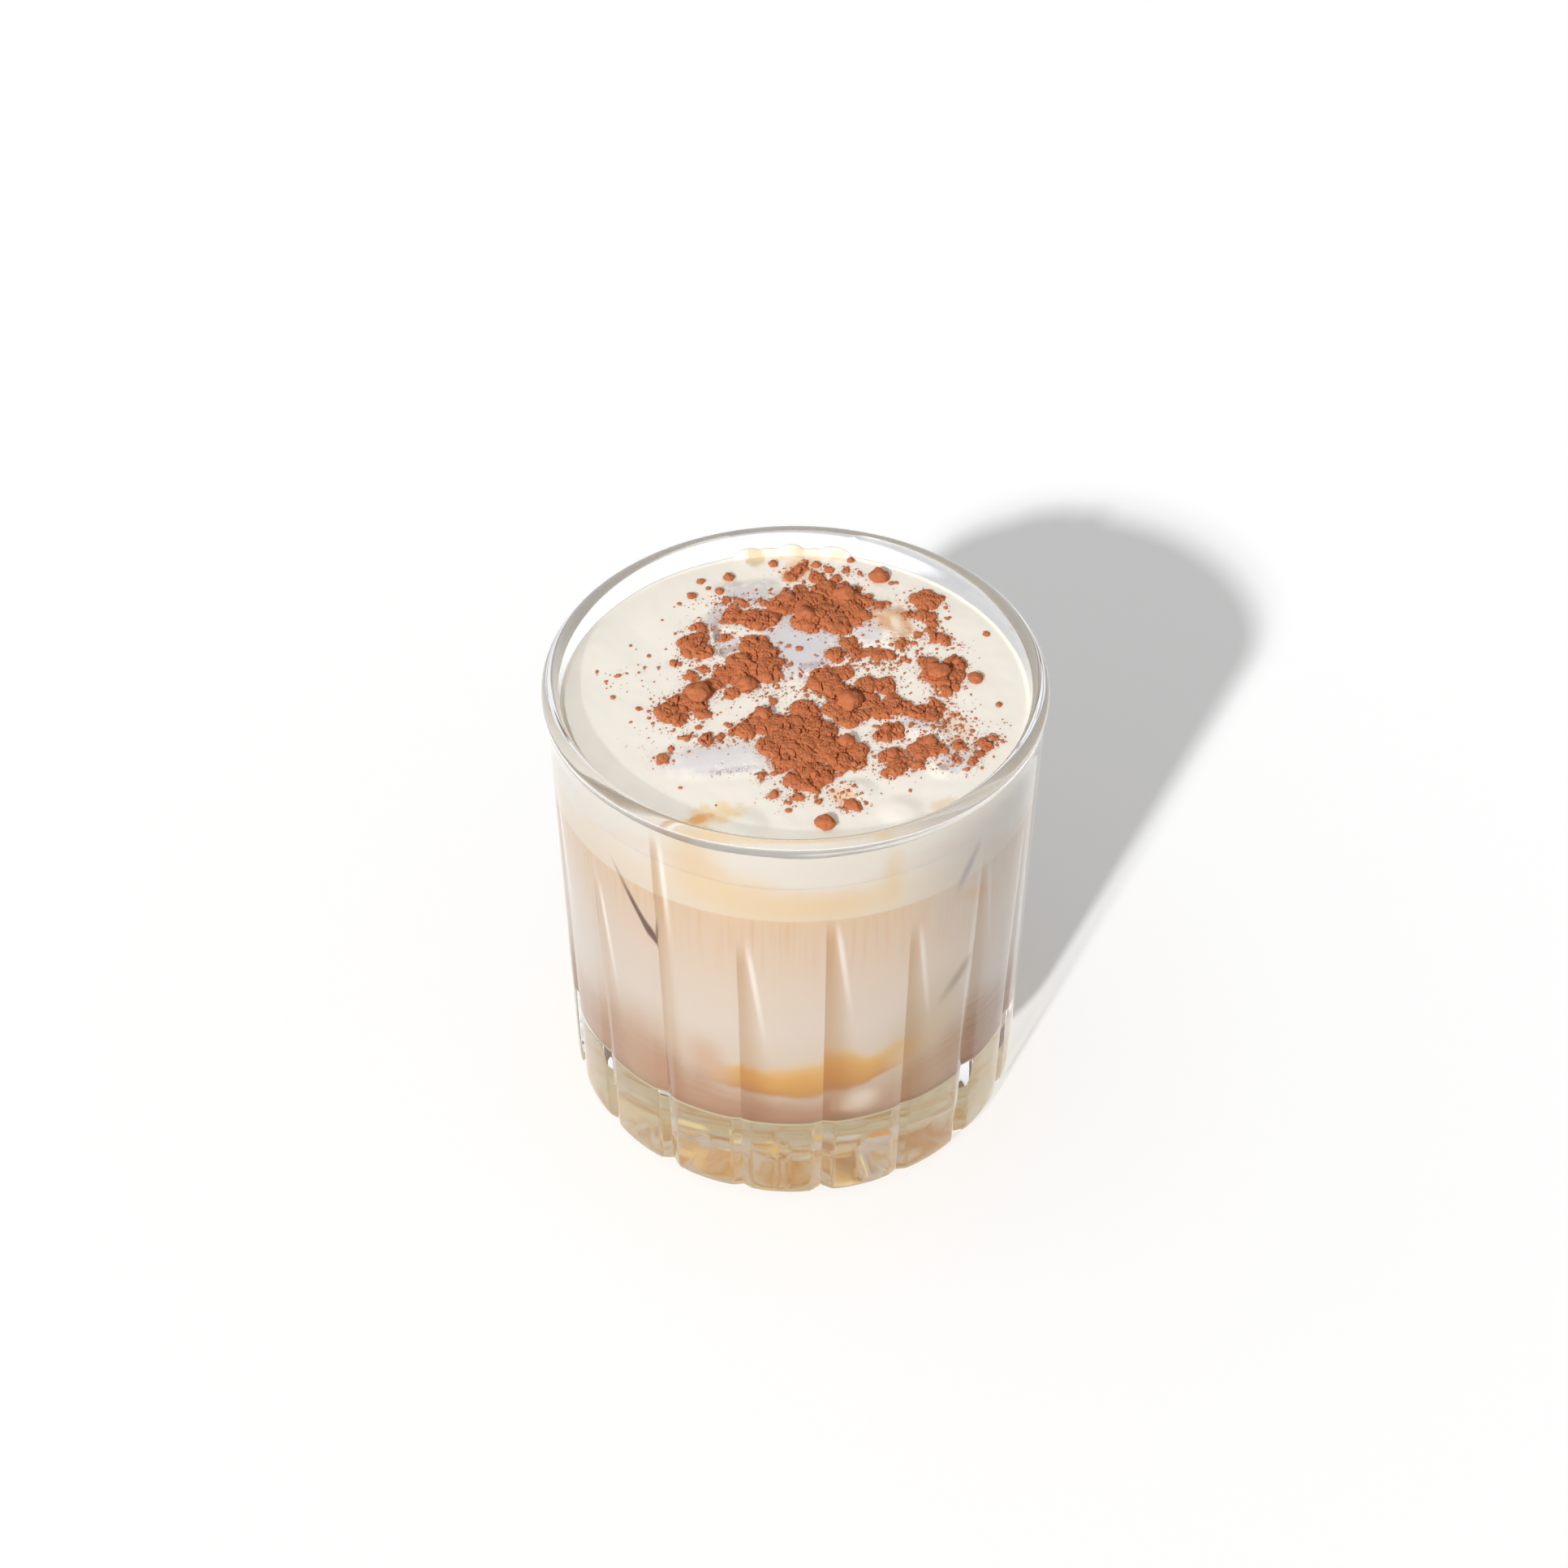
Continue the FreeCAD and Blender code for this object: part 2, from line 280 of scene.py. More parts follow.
def drink_layer(name, below, above, material, node):
    """One layer of the drink between two surfaces, reaching just into the wall all round."""
    flat = FLOOR_FLAT_RADIUS / (FLOOR_FLAT_RADIUS + FLOOR_FILLET + WALL_REACH)
    reaches = [flat * row / 14 for row in range(15)]
    reaches += [flat + (1 - flat) * math.sin(math.pi / 2 * row / 20) for row in range(1, 21)]
    side_rows, steps = 24, 240
    bm = revolve([(reach, 0.0) for reach in reaches]
                 + [(1.0, row / side_rows) for row in range(1, side_rows + 1)]
                 + [(reach, 1.0) for reach in reversed(reaches[:-1])], steps)
    for vert in bm.verts:
        x, y, share = vert.co
        reach = math.hypot(x, y)
        unit = Vector((x / reach, y / reach)) if reach > 1e-6 else Vector((0.0, 0.0))
        edge = unit * (inner_radius(CREAM_LEVEL) * reach)
        for _ in range(3):
            z = below(*edge) + (above(*edge) - below(*edge)) * share
            wall = inner_radius(max(z, BASE_THICKNESS + FLOOR_FILLET)) + WALL_REACH
            edge = unit * (wall * reach)
        vert.co = (edge.x, edge.y, z)
    return new_piece(name, bm, material, [node])


# ---------------------------------------------------------------- the cream and the ice under it

# Ice blocks: middle x, y, half length, half width, turn in degrees, how far the cream's hump over it
# stands up, how soft the hump is, and how far the block's own top lies above the level cream.
ICE = [
    (-1.5, 13.5, 10.5, 7.6, 12.0, 0.6, 4.5, 0.0),
    (-13.0, -17.4, 7.6, 3.0, 6.0, 0.5, 5.0, -0.2),
    (15.5, 18.5, 4.6, 5.6, -20.0, 0.6, 3.6, 0.1),
    (21.5, -8.5, 4.0, 2.4, -20.0, 0.45, 3.4, -0.3),
    (26.5, -17.5, 4.2, 3.0, 25.0, 0.45, 3.0, 0.0),
    (-8.5, 28.0, 5.6, 3.8, 10.0, 0.5, 3.0, -0.1),
]
# Rounding of a block's outline at its corners.
ICE_CORNER = 2.0
# Smooth humps of cream alone: middle x, y, radius, height.
SWELLS = [(17.5, -30.0, 3.8, 0.5), (-9.0, -33.8, 4.5, 0.5), (10.2, -25.0, 3.2, 0.5),
          (1.0, -32.0, 6.0, 0.15)]
# Cream left on the wall above the rest: azimuth, half width in degrees, and height.
SMEARS = [(169.5, 4.6, 2.0), (175.0, 4.0, 1.3), (181.0, 4.0, 2.2), (187.0, 4.0, 1.5), (192.0, 3.6, 1.9)]
# What shows through the cream or has run into it: colour, middle x, y, half length, half width, turn
# in degrees, softness of the edge, how ragged it is, and strength.
CREAM_MARKS = [
    ("#DAD6D8", 0.8, 14.0, 6.6, 9.0, -12, 0.45, 0.35, 0.95),
    ("#DEDADA", 12.8, 19.5, 3.4, 6.2, 15, 0.5, 0.3, 0.9),
    ("#CECACC", -8.0, 27.6, 6.6, 3.4, -10, 0.8, 0.5, 0.75),
    ("#C9C3C4", -14.4, 22.5, 1.6, 4.2, -16, 0.8, 0.4, 0.8),
    ("#8F857F", -14.0, 16.6, 0.75, 4.0, 6, 0.6, 0.3, 0.85),
    ("#A79E99", -12.2, 12.0, 2.3, 1.7, 20, 0.7, 0.5, 0.8),
    ("#D9D6DB", -11.8, 14.2, 2.0, 1.4, 0, 0.7, 0.4, 0.9),
    ("#9B9494", -1.4, 7.6, 0.8, 0.6, 0, 0.8, 0.4, 0.8),
    ("#B5AFB4", 3.6, 7.8, 3.0, 0.9, 12, 0.8, 0.6, 0.8),
    ("#E2DEDE", -14.0, -17.2, 9.0, 3.4, 6, 0.95, 0.4, 0.85),
    ("#C3BEC4", -10.4, -20.0, 4.4, 0.8, 8, 0.9, 0.4, 0.85),
    ("#5F4B42", -6.0, -20.6, 0.9, 0.4, 20, 0.6, 0.3, 0.9),
    ("#D4A488", -4.6, -18.2, 0.35, 2.8, 14, 0.8, 0.3, 0.7),
    ("#D9B49C", -5.8, -22.0, 0.3, 1.8, -8, 0.8, 0.3, 0.6),
    ("#D8D2D4", 21.0, -8.4, 3.4, 1.7, -10, 0.8, 0.4, 0.8),
    ("#D5CFD2", 27.0, -17.6, 3.0, 2.8, 20, 0.8, 0.4, 0.75),
    ("#A38878", 25.0, -19.4, 0.9, 0.8, 0, 0.7, 0.4, 0.8),
    ("#E8BF94", 17.8, 20.4, 3.4, 5.0, 20, 0.9, 0.7, 0.9),
    ("#D9935C", 15.2, 24.0, 1.9, 1.0, 30, 0.9, 1.0, 0.8),
    ("#DFA271", 19.6, 21.6, 0.6, 3.6, 12, 0.9, 1.2, 0.75),
    ("#DA9A68", 16.2, 19.6, 0.6, 3.4, 24, 0.9, 1.2, 0.7),
    ("#D5925E", 19.2, 16.4, 0.9, 2.2, -30, 0.9, 1.0, 0.7),
    ("#F2E4CF", 18.4, 19.0, 0.8, 1.6, 10, 0.9, 0.9, 0.8),
    ("#F5D9A8", -13.6, -31.0, 5.0, 2.3, 18, 0.8, 0.5, 0.85),
    ("#EFA94C", -16.2, -31.9, 2.4, 1.2, 24, 0.8, 0.5, 0.9),
    ("#F1CFA6", -19.0, -34.5, 3.6, 2.0, -28, 0.8, 0.3, 0.8),
    ("#EFC79C", 7.8, -26.4, 1.9, 2.2, 30, 0.9, 0.6, 0.75),
    ("#EBD3AE", 24.4, -28.4, 2.6, 1.3, 35, 0.8, 0.3, 0.7),
    ("#E3913F", -0.6, 34.3, 2.0, 1.9, 0, 0.8, 0.5, 0.9),
    ("#EEC08A", 1.4, 37.0, 2.8, 3.0, 0, 0.9, 0.5, 0.7),
    ("#EFE3CE", 0.6, 40.4, 11.0, 1.5, 0, 0.6, 0.3, 0.6),
    ("#DCC398", -7.4, 39.4, 1.8, 2.2, 0, 0.5, 0.4, 0.8),
    ("#DDC09A", 1.0, 40.6, 1.2, 1.2, 0, 0.6, 0.5, 0.7),
    ("#DFC49C", 8.0, 40.0, 1.5, 1.6, 0, 0.6, 0.5, 0.7),
    ("#F0CDAE", 27.0, -7.0, 2.4, 4.4, 10, 0.9, 0.8, 0.55),
]
# Tiny bubbles on bare ice and at the edge of the cream: from x, y, to x, y, scatter and how many.
BUBBLE_RUNS = [
    (-14.0, -20.9, -7.0, -19.9, 0.55, 55), (-13.6, -19.0, -8.0, -18.2, 0.6, 14),
    (-13.8, 10.8, -13.4, 19.0, 0.5, 16), (-13.2, 11.0, -10.6, 13.6, 0.7, 30),
    (14.6, 14.2, 16.2, 16.6, 0.5, 9), (2.2, 7.6, 5.6, 8.4, 0.5, 10), (-2.0, 7.2, -0.8, 7.8, 0.4, 6),
]


def block_edge(x, y, block):
    """Distance outside an ice block's rounded outline, negative inside it."""
    middle_x, middle_y, half_length, half_width, turn_deg = block[:5]
    turn = math.radians(turn_deg)
    off_x = x - middle_x
    off_y = y - middle_y
    along = abs(off_x * math.cos(turn) + off_y * math.sin(turn)) - half_length + ICE_CORNER
    across = abs(off_y * math.cos(turn) - off_x * math.sin(turn)) - half_width + ICE_CORNER
    outside = math.hypot(max(along, 0.0), max(across, 0.0))
    return outside + min(max(along, across), 0.0) - ICE_CORNER


def smear_height(x, y):
    """How far the cream has run up the wall at a place on its edge."""
    azimuth = math.degrees(math.atan2(x, -y)) % 360
    height = 0.3 + 0.9 * smooth(0.5 - y / 30)
    for middle, half, top in SMEARS:
        height = max(height, top * math.sqrt(max(1 - ((azimuth - middle) / half) ** 2, 0.0)))
    return height


def cream_height(x, y):
    """Top of the cream: level, climbing at the wall, and lifted in soft humps over the ice."""
    radius = math.hypot(x, y)
    mouth = inner_radius(CREAM_LEVEL)
    lift = 0.0
    for block in ICE:
        hump, soft = block[5:7]
        lift = max(lift, hump * smooth(0.5 - block_edge(x, y, block) / soft))
    for middle_x, middle_y, reach, top in SWELLS:
        away = math.hypot(x - middle_x, y - middle_y) / reach
        lift = max(lift, top * smooth(1.25 - away))
    ripple = 0.16 * noise.noise(Vector((x / 9, y / 9, 3.1)))
    ripple += 0.05 * noise.noise(Vector((x / 2.5, y / 2.5, 3.1)))
    rise = smear_height(x, y) * smooth((radius - mouth + 0.8) / 0.9) ** 2
    return CREAM_LEVEL - 0.15 + lift * smooth((mouth - radius) / 2.0) + ripple + rise


def cream_tint(x, y):
    """Colour laid over the plain cream at a place, with how strongly as its fourth number."""
    tint = Vector((0.0, 0.0, 0.0))
    cover = 0.0
    for colour, middle_x, middle_y, half_length, half_width, turn_deg, soft, ragged, strength in CREAM_MARKS:
        off_x = x - middle_x
        off_y = y - middle_y
        if math.hypot(off_x, off_y) > 2 * max(half_length, half_width):
            continue
        turn = math.radians(turn_deg)
        along = (off_x * math.cos(turn) + off_y * math.sin(turn)) / half_length
        across = (off_y * math.cos(turn) - off_x * math.sin(turn)) / half_width
        fray = noise.fractal(Vector((x / 1.6, y / 1.6, half_length)), 0.7, 2.0, 3)
        amount = strength * smooth((1 - math.hypot(along, across) + ragged * fray) / soft + 0.5)
        if amount > 0:
            tint = tint.lerp(Vector(linear(colour)[:3]), 1.0 if cover == 0 else amount)
            cover = max(cover, amount)
    return (*tint, cover)


def cream(material):
    """The salted cream, with its top shaped and tinted by what lies under and on it."""
    rings, steps = 150, 480
    reach = inner_radius(CREAM_LEVEL) + WALL_REACH
    profile = [(0.0, -1.0), (reach * 0.5, -1.0), (reach, -1.0)]
    profile += [(reach, -1.0 + row / 10) for row in range(1, 10)]
    profile += [(reach * row / rings, 0.0) for row in range(rings, -1, -1)]
    bm = revolve(profile, steps)
    tint = bm.verts.layers.float_color.new("cream_tint")
    dust = bm.verts.layers.float.new("cocoa_dust")
    for vert in bm.verts:
        x, y, depth = vert.co
        radius = math.hypot(x, y)
        top = cream_height(x, y)
        z = top + (top - stained_top(x, y)) * depth
        if radius > reach - 0.01:
            wall = inner_radius(z) + WALL_REACH
            vert.co.x *= wall / radius
            vert.co.y *= wall / radius
        vert.co.z = z
        if depth > -0.01:
            vert[tint] = cream_tint(x, y)
            vert[dust] = dust_amount(x, y)
    return new_piece("salted_cream", bm, material, ["salt_cream"])


def ice_blocks(material):
    """Clear ice sunk in the drink, worn round, that just breaks the cream here and there."""
    bm = bmesh.new()
    for middle_x, middle_y, half_length, half_width, turn_deg, _, _, top in ICE:
        made = bmesh.ops.create_cube(bm, size=1.0)["verts"]
        bmesh.ops.scale(bm, vec=(2 * half_length, 2 * half_width, 16.0), verts=made)
        bmesh.ops.rotate(bm, cent=(0, 0, 0), matrix=Matrix.Rotation(math.radians(turn_deg), 3, "Z"),
                         verts=made)
        bmesh.ops.translate(bm, vec=(middle_x, middle_y, CREAM_LEVEL + top - 8.0), verts=made)
    bmesh.ops.bevel(bm, geom=bm.edges[:], offset=0.8, segments=4, profile=0.5, affect="EDGES", material=-1)
    return new_piece("ice_blocks", bm, material, [])


def bubbles(material):
    """Tiny bubbles that catch the light where the ice is bare."""
    bm = bmesh.new()
    for from_x, from_y, to_x, to_y, scatter, count in BUBBLE_RUNS:
        for _ in range(count):
            share = random.random()
            x = from_x + (to_x - from_x) * share + random.gauss(0, scatter)
            y = from_y + (to_y - from_y) * share + random.gauss(0, scatter)
            radius = random.uniform(0.1, 0.26)
            made = bmesh.ops.create_icosphere(bm, subdivisions=2, radius=radius)["verts"]
            bmesh.ops.translate(bm, vec=(x, y, max(cream_height(x, y), CREAM_LEVEL + 0.2)), verts=made)
    return new_piece("melt_bubbles", bm, material, [])


# ---------------------------------------------------------------- the cocoa powder

# Lumps of each heap: x and y of the middle and radius, in the order of the CAD heaps.
HEAPS = [
    [(-2.0, 25.0, 3.0), (2.2, 25.8, 3.6), (5.3, 22.2, 4.0), (9.3, 25.2, 4.0), (12.6, 25.2, 1.8),
     (2.3, 19.6, 3.0), (7.6, 18.8, 2.8), (11.2, 21.0, 2.2), (5.5, 30.0, 2.6), (4.2, 33.2, 1.6),
     (8.8, 29.8, 1.9), (0.8, 29.6, 1.6)],
    [(-11.2, 22.0, 2.0), (-7.8, 21.2, 2.6), (-4.6, 20.8, 2.2), (-6.6, 19.0, 1.8), (-12.8, 20.8, 1.0)],
    [(-17.2, 18.8, 1.7), (-18.4, 14.0, 2.5), (-16.6, 11.8, 1.9), (-19.2, 11.2, 1.5), (-16.8, 15.6, 1.6)],
    [(-12.6, 15.6, 1.3), (-7.4, 13.0, 2.6), (-6.2, 10.0, 3.2), (-9.6, 7.6, 3.1), (-5.2, 5.4, 2.9),
     (-12.4, 5.2, 2.3), (-9.0, 3.2, 2.3), (-11.0, 0.6, 1.6), (-3.4, 7.6, 1.8)],
    [(-17.4, 0.2, 2.8), (-14.4, 2.6, 1.9), (-19.8, -2.8, 2.8), (-22.2, -4.8, 2.5), (-20.2, -6.8, 1.6),
     (-16.2, -5.4, 1.5), (-17.0, -2.8, 2.0)],
    [(7.0, 10.2, 1.9), (9.6, 13.6, 1.9), (10.6, 11.2, 1.6), (5.2, 3.4, 3.2), (7.6, 0.6, 2.8),
     (8.6, 6.0, 1.8), (12.5, 2.4, 2.3), (15.6, 2.4, 2.2), (12.6, -1.6, 2.0), (9.2, -6.6, 2.3),
     (6.8, -3.6, 2.2)],
    [(14.6, -4.6, 2.0), (18.0, -3.2, 2.4), (21.0, -5.2, 2.2), (23.6, -5.6, 1.8), (24.2, -3.2, 1.5),
     (17.0, -0.8, 1.4), (11.8, -5.4, 1.6)],
    [(1.8, -4.4, 2.7), (-5.0, -7.4, 3.1), (-8.6, -9.2, 2.3), (-1.0, -9.4, 3.6), (3.6, -10.0, 3.5),
     (-3.4, -13.8, 3.4), (1.6, -14.8, 3.8), (5.6, -14.8, 3.2), (-2.0, -18.2, 2.2), (3.0, -21.2, 3.2),
     (7.4, -17.8, 2.4), (10.6, -18.6, 1.5), (10.6, -15.0, 2.1), (-0.6, -22.6, 1.8), (1.8, -23.8, 1.9),
     (-3.6, -26.0, 1.1), (0.0, -26.8, 1.1), (-5.6, -21.6, 0.8), (-10.8, -10.0, 1.1)],
    [(24.4, 5.8, 2.4), (23.4, 8.6, 1.9), (28.4, 8.2, 2.2), (26.6, 3.0, 2.4), (26.0, 0.8, 1.7),
     (28.2, 5.0, 1.6)],
    [(24.0, 26.4, 2.6), (22.2, 26.8, 1.6), (26.2, 27.4, 1.2)],
    [(20.9, 22.2, 1.3), (23.4, 22.0, 1.8), (24.7, 20.0, 1.1), (25.8, 15.8, 1.8), (26.9, 14.8, 1.2),
     (24.2, 18.2, 0.9)],
    [(16.4, -9.3, 2.0), (14.8, -11.2, 1.7), (17.4, -10.6, 1.3)],
    [(16.6, -16.2, 1.9), (16.8, -19.0, 2.0), (17.9, -17.4, 1.4), (15.4, -20.4, 1.1), (14.6, -16.6, 0.8)],
    [(22.4, -13.2, 2.2), (21.0, -15.2, 2.0), (23.9, -14.8, 1.8), (20.4, -18.4, 1.2), (21.0, -17.2, 1.2)],
    [(27.6, -12.6, 0.9), (27.8, -14.4, 1.2), (26.9, -17.4, 1.0)],
    [(33.9, -12.0, 1.0), (32.3, -13.4, 1.4), (31.0, -15.6, 1.2), (30.0, -17.9, 0.9), (29.0, -19.9, 0.6)],
]
# Thin patches, too low to be heaps of their own: x, y, radius.
PATCHES = [
    (14.8, 10.6, 1.5), (13.0, 11.6, 1.1), (16.8, 10.6, 1.2), (15.6, 25.2, 1.4), (18.8, 13.6, 1.2),
    (9.3, -28.6, 1.5), (-18.4, 5.0, 1.3), (-16.4, 7.0, 0.9), (-15.0, -12.0, 1.2), (-12.8, -11.2, 0.7),
    (-18.8, -11.4, 0.8), (1.2, 36.0, 1.4), (-0.4, 34.2, 1.2), (7.6, 33.2, 1.2), (11.4, 30.0, 0.9),
    (2.0, 38.6, 0.8), (22.0, 16.8, 0.8), (6.0, 36.2, 0.9), (-22.6, -17.4, 0.8), (-9.6, 25.6, 1.0),
    (-12.4, 26.0, 0.9), (-5.6, 25.0, 0.8), (9.4, 36.0, 0.7), (29.6, 13.6, 0.4), (-21.4, 8.6, 0.7),
]
# Round clumps: x, y, radius, and how high the middle lies above the cream.
CLUMPS = [
    (-17.0, -0.6, 2.1, 1.9), (9.4, -2.6, 2.2, 2.2), (25.3, 5.4, 2.0, 2.2), (1.7, 20.8, 1.8, 1.9),
    (-8.4, 2.2, 1.6, 1.4), (4.8, -33.2, 1.6, 1.0), (15.5, 33.4, 1.8, 1.3), (31.6, 4.2, 1.35, 0.8),
    (9.0, 27.2, 1.9, 2.2), (-3.9, -2.2, 0.75, 0.5), (0.7, 11.9, 0.6, 0.3), (-12.2, 33.4, 1.0, 0.6),
    (-17.3, 32.2, 0.7, 0.4), (-18.9, 27.8, 0.85, 0.5), (-13.8, 28.7, 0.8, 0.5), (-21.1, 25.6, 0.4, 0.2),
    (35.3, -2.8, 0.6, 0.3), (34.3, 16.8, 0.65, 0.3), (-4.0, 37.4, 0.8, 0.5), (4.0, 37.4, 0.8, 0.5),
    (10.4, 38.6, 0.7, 0.4), (13.4, 27.4, 0.8, 0.5), (-22.5, -17.0, 1.0, 0.6), (-21.2, -14.6, 0.6, 0.3),
    (-27.3, -4.0, 0.5, 0.3), (-26.0, 10.6, 0.4, 0.2), (-29.4, 13.5, 0.3, 0.15), (-25.4, -4.6, 0.35, 0.2),
    (-16.7, -8.9, 0.6, 0.3), (-1.2, -30.0, 0.5, 0.2), (11.6, -28.2, 0.4, 0.2), (-21.6, 8.6, 0.7, 0.4),
    (19.2, 9.7, 0.6, 0.3), (-12.0, -8.0, 0.45, 0.2), (27.4, 24.4, 0.4, 0.2), (28.0, 21.6, 0.3, 0.2),
    (17.8, 31.8, 0.5, 0.3), (18.7, 32.0, 0.4, 0.2), (12.0, 34.8, 0.5, 0.3), (26.2, -7.2, 0.4, 0.2),
    (28.6, -6.6, 0.35, 0.2), (-24.0, 20.8, 0.25, 0.1), (-15.9, 30.2, 0.5, 0.2), (8.6, -13.2, 1.5, 1.7),
    (-5.6, -6.0, 1.6, 1.7), (23.0, -12.8, 1.2, 1.3), (16.4, -16.0, 1.1, 1.1), (-1.6, 26.6, 1.6, 1.5),
]
# Spacing of the points of a heap and of a thin patch, and how far both reach down into the cream.
HEAP_PITCH = 0.14
PATCH_PITCH = 0.2
BED_DEPTH = 0.7
GRAIN_COUNT = 3000
GRAIN_BATCH = 60


def lump_cover(x, y, lumps):
    """How far a place lies inside the lumps' outline, negative outside, and how high the domes are
    there."""
    inside = -9.0
    dome = 0.0
    for middle_x, middle_y, radius in lumps:
        away = math.hypot(x - middle_x, y - middle_y)
        inside = max(inside, radius - away)
        if away < radius:
            dome = max(dome, 0.34 * radius * math.sqrt(1 - (away / radius) ** 3))
    return inside, dome


def powder_depth(x, y, lumps):
    """Depth of powder at a place: a crust of crumbs with ragged edges, cracked between them."""
    place = Vector((x, y, 0.0))
    drift = noise.noise_vector(place / 2.4) * 0.9 + noise.noise_vector(place / 0.8) * 0.5
    drift += noise.noise_vector(place / 0.35) * 0.22
    inside, dome = lump_cover(x + drift.x, y + drift.y, lumps)
    if inside < 0.02:
        return inside
    warp = noise.noise_vector(place / 1.3) * 0.6
    lumpy, _ = noise.voronoi((place + warp) / 2.3)
    crumbs, _ = noise.voronoi((place + warp) / 0.62)
    grain = noise.fractal(place / 0.26, 0.7, 2.0, 3)
    swell = noise.fractal(place / 1.6, 0.8, 2.0, 2)
    cracked = smooth(0.45 + 2.4 * noise.noise(place / 2.2))
    crumbly = smooth(0.5 + 2.0 * noise.noise(place / 1.4 + Vector((7, 3, 1))))
    crack = smooth(1 - (lumpy[1] - lumpy[0]) / 0.11) * cracked
    seam = smooth(1 - (crumbs[1] - crumbs[0]) / 0.3) * crumbly
    firm = smooth(inside / 0.6)
    bed = 0.5 * (1 - math.exp(-inside / 0.45)) + 0.46 * dome
    relief = 0.14 - 0.15 * lumpy[0] ** 2 - 0.8 * crack - 0.2 * seam
    relief += 0.11 * grain + 0.12 * swell - 0.16 * crumbs[0] ** 2 * crumbly
    return bed + firm * relief + 0.05 * grain


def powder_bed(bm, lumps, pitch):
    """Adds one bed of powder to a bmesh, closed underneath inside the cream."""
    low_x = min(x - r for x, y, r in lumps) - 1.0
    high_x = max(x + r for x, y, r in lumps) + 1.0
    low_y = min(y - r for x, y, r in lumps) - 1.0
    high_y = max(y + r for x, y, r in lumps) + 1.0
    columns = round((high_x - low_x) / pitch)
    rows = round((high_y - low_y) / pitch)
    made = bmesh.ops.create_grid(bm, x_segments=columns, y_segments=rows, size=0.5)["verts"]
    bmesh.ops.scale(bm, vec=(high_x - low_x, high_y - low_y, 1.0), verts=made)
    middle = ((low_x + high_x) / 2, (low_y + high_y) / 2, CREAM_LEVEL - BED_DEPTH)
    bmesh.ops.translate(bm, vec=middle, verts=made)
    depths = {vert: powder_depth(vert.co.x, vert.co.y, lumps) for vert in made}
    bare = [vert for vert in made if depths[vert] < -1.2 * pitch]
    kept = [vert for vert in made if depths[vert] >= -1.2 * pitch]
    tops = {(round(vert.co.x, 4), round(vert.co.y, 4)): depths[vert] for vert in kept}
    bmesh.ops.delete(bm, geom=bare, context="VERTS")
    faces = list({face for vert in kept for face in vert.link_faces})
    grown = bmesh.ops.extrude_face_region(bm, geom=faces)["geom"]
    for vert in grown:
        if isinstance(vert, bmesh.types.BMVert):
            depth = tops[(round(vert.co.x, 4), round(vert.co.y, 4))]
            vert.co.z = cream_height(vert.co.x, vert.co.y) + max(depth, -0.25)
    loose = [vert for vert in kept if vert.is_valid and not vert.link_faces]
    bmesh.ops.delete(bm, geom=loose, context="VERTS")


def cocoa_heap(number, lumps, material):
    """One heap of powder that stands on the cream."""
    bm = bmesh.new()
    powder_bed(bm, lumps, HEAP_PITCH)
    bmesh.ops.recalc_face_normals(bm, faces=bm.faces)
    heap = "heap_%02d" % number
    return new_piece("powder_" + heap, bm, material, ["cocoa_" + heap])


def cocoa_patches(material):
    """Low thin patches and drifts of powder round the heaps."""
    bm = bmesh.new()
    for x, y, radius in PATCHES:
        turn = random.uniform(0, math.tau)
        near = (x + 0.8 * radius * math.cos(turn), y + 0.8 * radius * math.sin(turn), 0.6 * radius)
        powder_bed(bm, [(x, y, radius), near], PATCH_PITCH)
    bmesh.ops.recalc_face_normals(bm, faces=bm.faces)
    return new_piece("powder_patches", bm, material, [])


def cocoa_clumps(material):
    """Round clumps rolled up in the powder, each a little out of true."""
    bm = bmesh.new()
    for x, y, radius, lift in CLUMPS:
        detail = 4 if radius > 0.9 else 3
        made = bmesh.ops.create_icosphere(bm, subdivisions=detail, radius=1.0)["verts"]
        seed = Vector((x, y, 5.0))
        squash = random.uniform(0.55, 0.7)
        for vert in made:
            unit = vert.co.normalized()
            rough = 1 + 0.3 * noise.noise(unit * 1.3 + seed)
            rough += 0.1 * noise.fractal(unit * radius / 0.5 + seed, 0.8, 2.0, 3)
            vert.co = unit * radius * rough
            vert.co.z *= squash
        bmesh.ops.translate(bm, vec=(x, y, cream_height(x, y) + 0.45 * lift), verts=made)
    return new_piece("powder_clumps", bm, material, [])


def dust_amount(x, y):
    """How thickly fine powder has settled on the cream: most beside the heaps."""
    nearest = max(lump_cover(x, y, lumps)[0] for lumps in HEAPS + [PATCHES])
    return math.exp(min(nearest, 0.0) / 2.2)


# Fine sprays of grains away from the heaps: middle x, y, spread in x and in y, and how many grains.
SPRAYS = [
    (26.5, -7.0, 2.4, 3.2, 260), (15.0, 7.5, 3.0, 1.5, 130), (-10.0, 25.5, 4.0, 1.3, 220),
    (8.0, 37.0, 4.0, 2.2, 90), (-16.0, 7.5, 3.0, 2.0, 70), (-22.0, -11.0, 4.0, 4.0, 70),
    (-30.0, 4.0, 3.0, 2.0, 35), (20.5, 13.0, 2.5, 2.5, 90), (5.0, -1.0, 4.0, 1.0, 60),
    (-4.0, 0.5, 5.0, 1.2, 130), (-12.0, -13.0, 5.0, 1.0, 90), (31.0, -12.0, 2.6, 2.6, 90),
    (0.0, -26.5, 5.0, 1.6, 50), (3.0, 6.0, 3.0, 1.2, 60), (8.0, -26.5, 2.0, 2.2, 80),
    (22.0, -19.0, 4.0, 1.5, 50),
]


